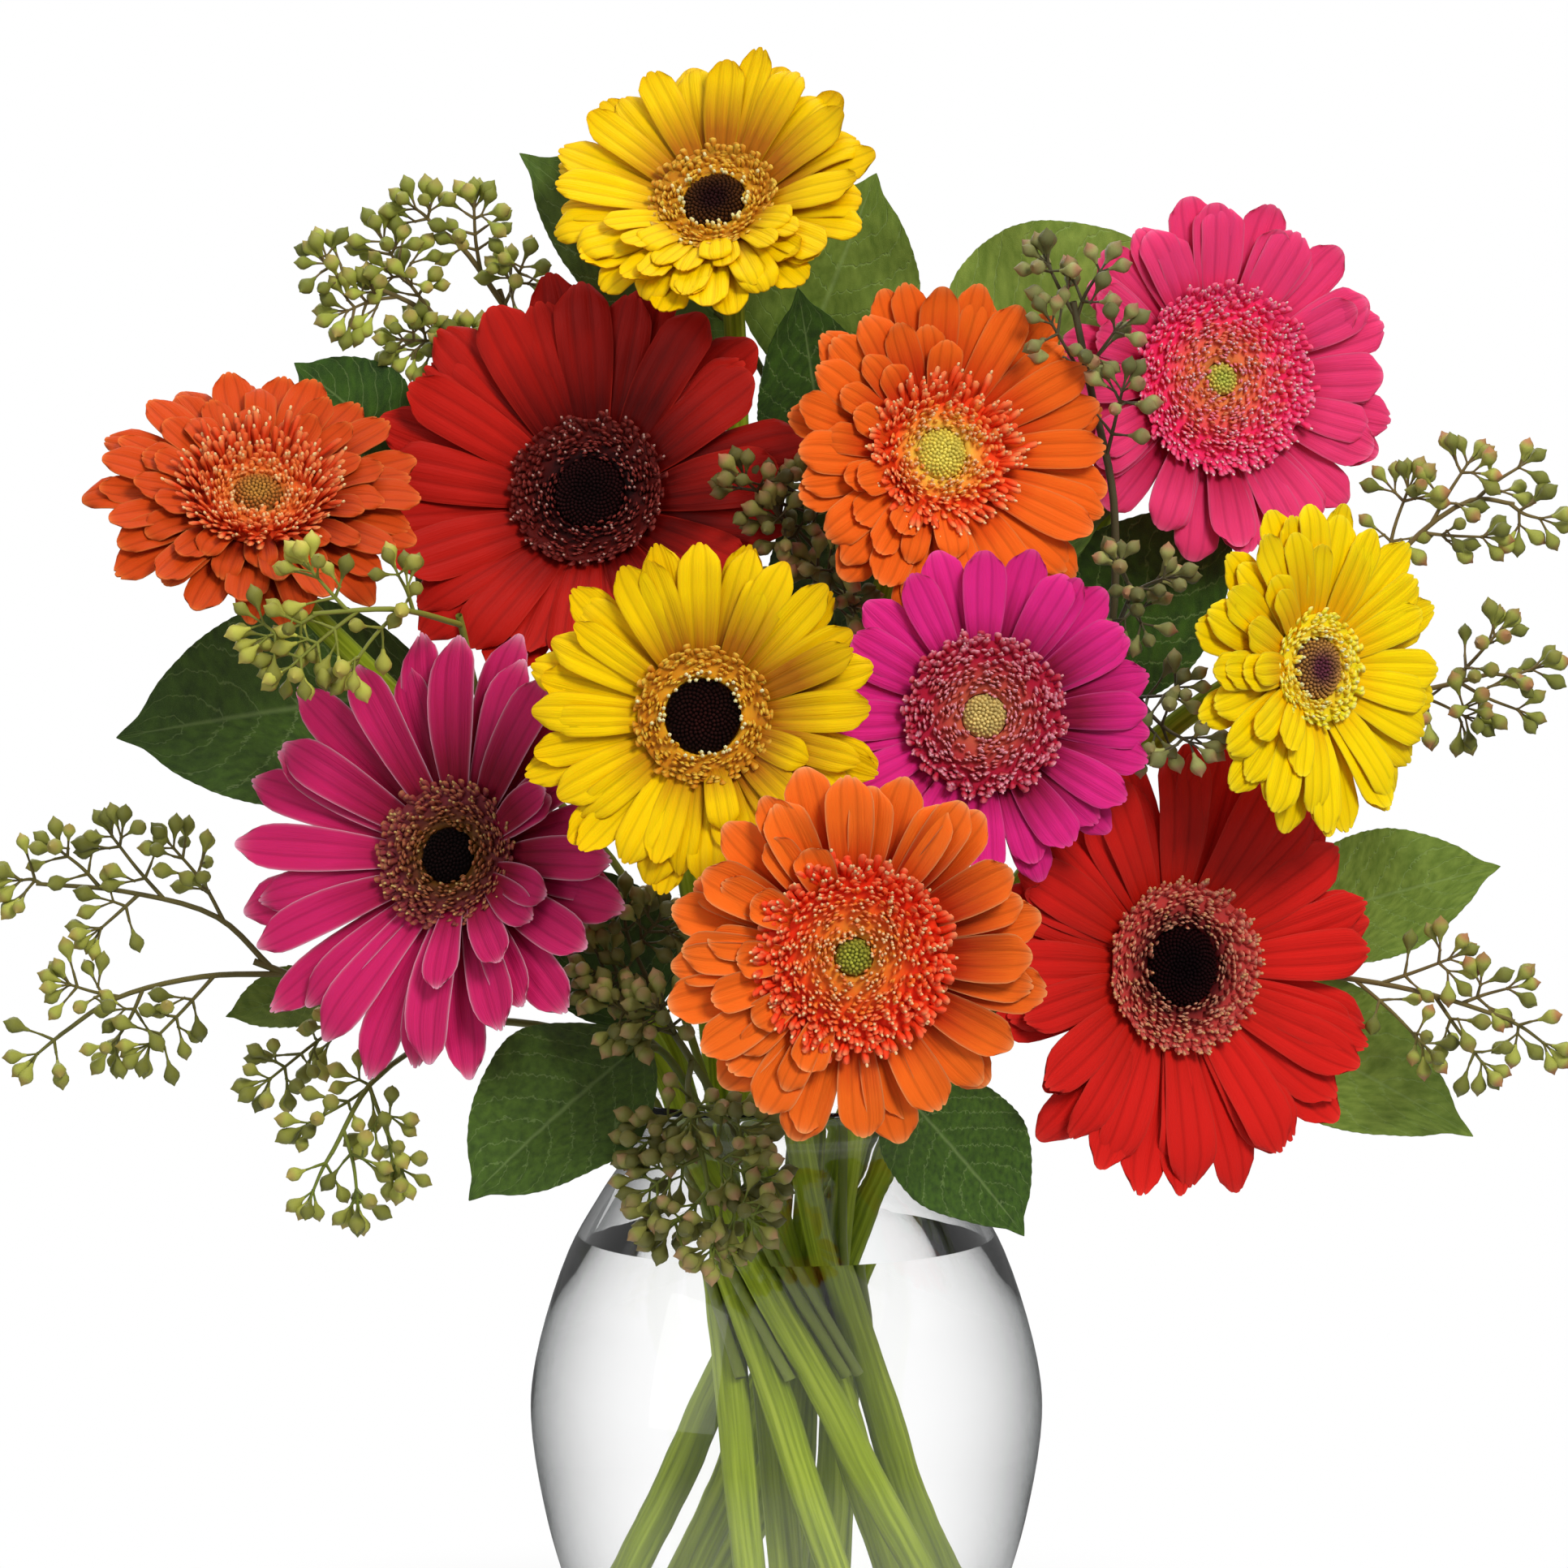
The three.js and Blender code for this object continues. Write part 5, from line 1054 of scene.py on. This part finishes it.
def leaf(cutting, stem, base, tip, wide, face, wave, pale):
    """One leaf: an arched blade with fine teeth, a stalk from the stem and a midrib below."""
    base, tip, face = (np.array(v, float) for v in (base, tip, face))
    length = np.linalg.norm(tip - base)
    long = (tip - base) / length
    face = unit(face - long * face.dot(long))
    side = np.cross(long, face)
    t, s = np.meshgrid(np.linspace(0, 1, 68), np.linspace(-1, 1, 17), indexing="ij")
    drawn_out = 1 - 0.3 * np.exp(-((t - 0.94) / 0.05) ** 2)
    share = np.clip(np.polyval(LEAF_OUTLINE, t) * drawn_out, 0.004, 1.05)
    half = wide / 2 * share
    # Fine teeth, about 2.5 mm from one to the next
    teeth = 0.35 * np.mod(t * length / 2.5, 1) * np.minimum(share * 3, 1) * np.abs(s) ** 6
    off = s * half + np.sign(s) * teeth
    # The blade is folded along the midrib, waves, and puffs up a little between the side veins
    fold = half * (0.2 * np.abs(s) - 0.08)
    ripple = wave * share * np.cos(2 * np.pi * (t - 0.15) / 0.46) * -s
    veins = (t - VEIN_SLANT * np.abs(s) ** VEIN_CURVE) * SIDE_VEINS
    puff = 0.3 * share * np.cos(2 * np.pi * veins) * (1 - s ** 4)

    def arch(u):
        return -0.06 * length * (2 * u - 1) ** 2

    def midrib(u):
        return base + length * u * long + face * arch(u)

    lift = arch(t) + fold + ripple - 0.6 * puff
    grid = base + t[..., None] * length * long + off[..., None] * side + lift[..., None] * face
    thin = 0.2 * face
    cutting.blades((grid + thin)[None], (grid - thin)[None], (s, t, pale), (1, 2))
    near = stem[np.argmin(np.linalg.norm(stem - midrib(0), axis=1))]
    stalk = np.array([near, (near + midrib(0)) / 2 - 0.4 * face, midrib(0) - 0.3 * face,
                      midrib(0.12) - 0.3 * face])
    cutting.tube(smooth_path(stalk, 4), np.linspace(1.05, 0.5, 13), 8)
    under = face * (0.45 + half.max() * 0.08)
    rib = np.array([midrib(u) - under for u in np.linspace(0.02, 0.94, 14)])
    cutting.tube(rib, np.linspace(0.6, 0.15, 14), 6)


def leafy_stem(name, spot, flesh):
    run, leaves = LEAFY[name]
    cutting = Cutting()
    path, leave = woody_run(spot, run)
    radii = TWIG_R * (1.15 - 0.3 * np.arange(len(path)) / len(path))
    cutting.tube(path, radii, 8)
    for spec in leaves:
        leaf(cutting, path[leave:], *spec)
    cutting.piece(name, flesh, "broad_leaf", name)


# Eucalyptus

# A club-shaped bud, as (length along it, radius), and a direction that no twig has
BUD = [(0, 0.4), (1.2, 0.66), (2.5, 1.5), (3.7, 2.08), (4.7, 1.95), (5.5, 1.35), (6.1, 0.62),
       (6.8, 0.08)]
ASLANT = np.array([0.3, -0.8, 0.4])


def umbel(cutting, more, tip, way, count):
    """Club buds on short stalks, fanned out at the end of a twig."""
    way = unit(np.asarray(way, float))
    across = unit(np.cross(way, ASLANT))
    over = np.cross(way, across)
    turn = 2 * np.pi * (np.arange(count) + more.random()) / max(count - 1, 1)
    open_by = np.where(np.arange(count) == 0, 0.1, 0.6 + 0.45 * more.random(count))
    fan = unit(way + np.tan(open_by)[:, None] * (np.cos(turn)[:, None] * across
                                                 + np.sin(turn)[:, None] * over) * 0.9)
    # Buds spread sideways more than towards the viewer
    fan = unit(fan * [1, 0.6, 1])
    start = np.repeat(tip[None], count, axis=0)
    stalk = 2.2 + 1.6 * more.random()
    cutting.rods(start - 0.4 * fan, fan, [(0, 0.45), (stalk * 0.5, 0.3), (stalk + 0.5, 0.38)], 5,
                 (0, 0, 0.5))
    size = 0.88 + 0.27 * more.random(count)[:, None, None, None]
    grown = np.array([s[0] for s in BUD])[None, :, None] / BUD[-1][0]
    cutting.rods(start + stalk * fan, fan, BUD, 8,
                 (0, grown, more.random(count)[:, None, None]), 1, scale=size)


def side_stalks(cutting, more, twig, run, fullness):
    """Side stalks leave the twig in pairs, each with a few buds."""
    way = unit(run)
    pairs = max(1, round(np.linalg.norm(run) / 13 * fullness))
    for share in np.linspace(0.35, 0.85, pairs):
        start = on_path(twig, share)
        turn = unit(np.cross(way, more.random(3) - 0.5))
        for side in (1, -1):
            leg = unit(way * 0.5 + turn * side + [0, -0.25, 0])
            long = 2.5 + 2 * more.random()
            cutting.rods(start[None], leg[None], [(0, 0.5), (long, 0.4)], 5, (0, 0, 0.5))
            count = more.integers(1, 3 + round(fullness - 0.6))
            umbel(cutting, more, start + leg * long, leg, count)


def eucalyptus_spray(name, spot):
    run, limbs, twigs, fullness, colours = SPRAYS[name]
    cutting = Cutting()
    more = np.random.default_rng(seed_of(name))
    path, leave = woody_run(spot, run)
    radii = TWIG_R * (1.1 - 0.3 * np.arange(len(path)) / len(path))
    cutting.tube(path, radii, 8)
    lines = [path[leave:]]
    for share, *through in limbs:
        limb = smooth_path([on_path(lines[0], share), *through], 5)
        cutting.tube(limb, np.linspace(0.9, 0.6, len(limb)), 7)
        lines.append(limb)
    for limb, share, tip in twigs:
        root, tip = on_path(lines[limb], share), np.array(tip, float)
        bow = np.cross(unit(tip - root), ASLANT) * (more.random() - 0.5) * 3
        twig = smooth_path([root, (root + tip) / 2 + bow, tip], 4)
        cutting.tube(twig, np.linspace(0.6, 0.4, len(twig)), 6)
        umbel(cutting, more, tip, tip - twig[-3], more.integers(4, 6))
        side_stalks(cutting, more, twig, tip - root, fullness)
    cutting.piece(name, eucalyptus_seed(name, colours), "eucalyptus", name)


# Vase and water

def turned(name, profile, material, slot, level=()):
    """A body turned from its profile, with a level face of its own where it has one."""
    cutting = Cutting()
    turn = 2 * np.pi * np.arange(144) / 144
    for kind, line in enumerate((profile, level)):
        if line:
            r, z = (np.array(c, float)[:, None] for c in zip(*line))
            ring = np.broadcast_arrays(r * np.cos(turn), r * np.sin(turn), z + 0 * turn)
            cutting.sheets(np.stack(ring, axis=-1)[None], (0, 0, 0), kind, closed=True)
    cutting.piece(name, material, slot, name)


def curved(profile, steps):
    return [(p[0], p[2]) for p in smooth_path([(r, 0, z) for r, z in profile], steps)]


def vase_glass():
    lip = [(50.0, 190.5), (49.5, 190.7), (49, 190.5)]
    floor = [(36, 6.6), (24, 6.2), (12, 6.0), (0.05, 6.0)]
    under = [(0.05, 1.4), (20, 1.2), (36, 0.6), (41, 0.1)]
    profile = [*under, *curved(GLASS_OUT, 5), *lip, *curved(GLASS_IN, 5), *floor]
    turned("vase", profile, blown_glass(), "clear_glass")


def vase_water():
    """Fresh water up to a little below the neck, set a hair into the glass."""
    water, _, _ = clear_body("fresh_water", 1.33, 24, 0.1)
    line = curved(GLASS_IN, 5)[::-1]
    brim = (np.interp(WATER_Z, [z for _, z in line], [r for r, _ in line]) + 0.25, WATER_Z)
    wall = [(r + 0.25, z) for r, z in line if z < WATER_Z - 0.5]
    inside = [(0.05, 6.2), (24, 6.4), (36, 6.8), *wall, brim]
    turned("water", inside, water, "water", [brim, (0.05, WATER_Z)])


# Studio

def room_light(tree, lighting, mirrored):
    """The room's strength by the kind of ray: white to the camera, a little more through glass,
    to make up for what its faces turn back, dimmer on what it lights and after it was mirrored
    inside the glass, and dimmest on what mirrors it, so that the glass stays clear."""
    ray = add(tree, "LightPath").outputs
    mirror = add(tree, "Math", {0: ray["Glossy Depth"], 1: ray["Is Diffuse Ray"]},
                 operation="SUBTRACT", use_clamp=True)
    turned_back = add(tree, "MapRange", {"Value": ray["Is Transmission Ray"], "To Min": mirrored,
                                         "To Max": INSIDE_GLASS})
    lit = add(tree, "MapRange", {"Value": mirror, "To Min": lighting, "To Max": turned_back})
    seen = add(tree, "Math", {0: ray["Is Camera Ray"], 1: ray["Is Transmission Ray"]},
               operation="MAXIMUM")
    straight = add(tree, "Math", {0: seen, 1: mirror}, operation="SUBTRACT", use_clamp=True)
    white = add(tree, "MapRange", {"Value": ray["Is Transmission Ray"], "To Min": 1.0,
                                   "To Max": THROUGH_GLASS})
    return add(tree, "MapRange", {"Value": straight, "To Min": lit, "To Max": white})


def white_room(scene):
    """White all round."""
    world = bpy.data.worlds.new("studio")
    scene.world = world
    world.use_nodes = True
    tree = world.node_tree
    back = tree.nodes["Background"]
    back.inputs["Color"].default_value = linear("#ffffff")
    tree.links.new(room_light(tree, *ROOM_STRENGTH).outputs[0], back.inputs["Strength"])


def paper_floor(scene):
    """A round of matt white paper, 8 m across, that fades into the room around the vase."""
    mesh = bpy.data.meshes.new("floor")
    turn = 2 * np.pi * np.arange(96) / 96
    rim = np.stack([4 * np.cos(turn), 4 * np.sin(turn), 0 * turn - 0.0002], axis=-1)
    mesh.from_pydata(rim.tolist(), [], [list(range(96))])
    floor = bpy.data.objects.new("floor", mesh)
    scene.collection.objects.link(floor)
    material = bpy.data.materials.new("white_paper_floor")
    material.use_nodes = True
    tree = material.node_tree
    shader = tree.nodes["Principled BSDF"]
    shader.inputs["Base Color"].default_value = linear("#f2f2f2")
    shader.inputs["Roughness"].default_value = 0.8
    spot = add(tree, "TexCoord")
    far = add(tree, "VectorMath", {0: spot.outputs["Object"]}, operation="LENGTH")
    fade = add(tree, "MapRange", {"Value": far.outputs["Value"], "From Min": 0.1,
                                  "From Max": 0.34}, interpolation_type="SMOOTHSTEP")
    glow = add(tree, "Emission", {"Color": "#ffffff",
                                  "Strength": room_light(tree, *FLOOR_STRENGTH)})
    both = add(tree, "MixShader", {0: fade, 1: shader, 2: glow})
    tree.links.new(both.outputs[0], tree.nodes["Material Output"].inputs["Surface"])
    mesh.materials.append(material)


def soft_lamps(scene, aim):
    """Square lamps that glass doesn't show, and the key lamp isn't mirrored either."""
    for name, spot, size, power in LAMPS:
        lamp = bpy.data.lights.new(name, "AREA")
        lamp.size = size
        lamp.energy = power
        obj = bpy.data.objects.new(name, lamp)
        obj.location = spot
        obj.rotation_euler = (aim - Vector(spot)).to_track_quat("-Z", "Y").to_euler()
        obj.visible_transmission = False
        obj.visible_glossy = name != "key"
        scene.collection.objects.link(obj)


def photo_camera(scene, aim):
    """The photograph's viewpoint and scale, on a frame 36 mm wide."""
    camera = bpy.data.objects.new("camera", bpy.data.cameras.new("camera"))
    rise = math.radians(CAMERA_ABOVE)
    look = Vector((0, math.cos(rise), -math.sin(rise)))
    camera.location = aim - look * CAMERA_FAR * MM
    camera.rotation_euler = look.to_track_quat("-Z", "Y").to_euler()
    frame_wide = 36
    camera.data.sensor_width = frame_wide
    camera.data.lens = frame_wide * CAMERA_FAR / (MM_PER_PIXEL * PHOTO_SIDE)
    scene.collection.objects.link(camera)
    scene.camera = camera


# Assembly

scene = bpy.context.scene
scene.view_settings.view_transform = "Standard"
white_room(scene)
paper_floor(scene)
soft_lamps(scene, Vector(CAMERA_AIM) * MM)
photo_camera(scene, Vector(CAMERA_AIM) * MM)
for head in BLOOMS:
    head["frame"] = bloom_frame(head)
aims = [place(head, 0, 0, -50) for head in BLOOMS]
aims += [plant[0][0] for plant in [*LEAFY.values(), *SPRAYS.values()]]
spots = neck_spots(aims, [STEM_R] * len(BLOOMS) + [TWIG_R] * (len(LEAFY) + len(SPRAYS)))

vase_glass()
vase_water()
stem_flesh = gerbera_stem()
for head, spot in zip(BLOOMS, spots):
    flower_stem(head, spot, stem_flesh)
    ray_petals(head)
    floret_ring(head)
    eye_disc(head)
leaf_flesh = broad_leaf()
for name, spot in zip(LEAFY, spots[len(BLOOMS):]):
    leafy_stem(name, spot, leaf_flesh)
for name, spot in zip(SPRAYS, spots[len(BLOOMS) + len(LEAFY):]):
    eucalyptus_spray(name, spot)
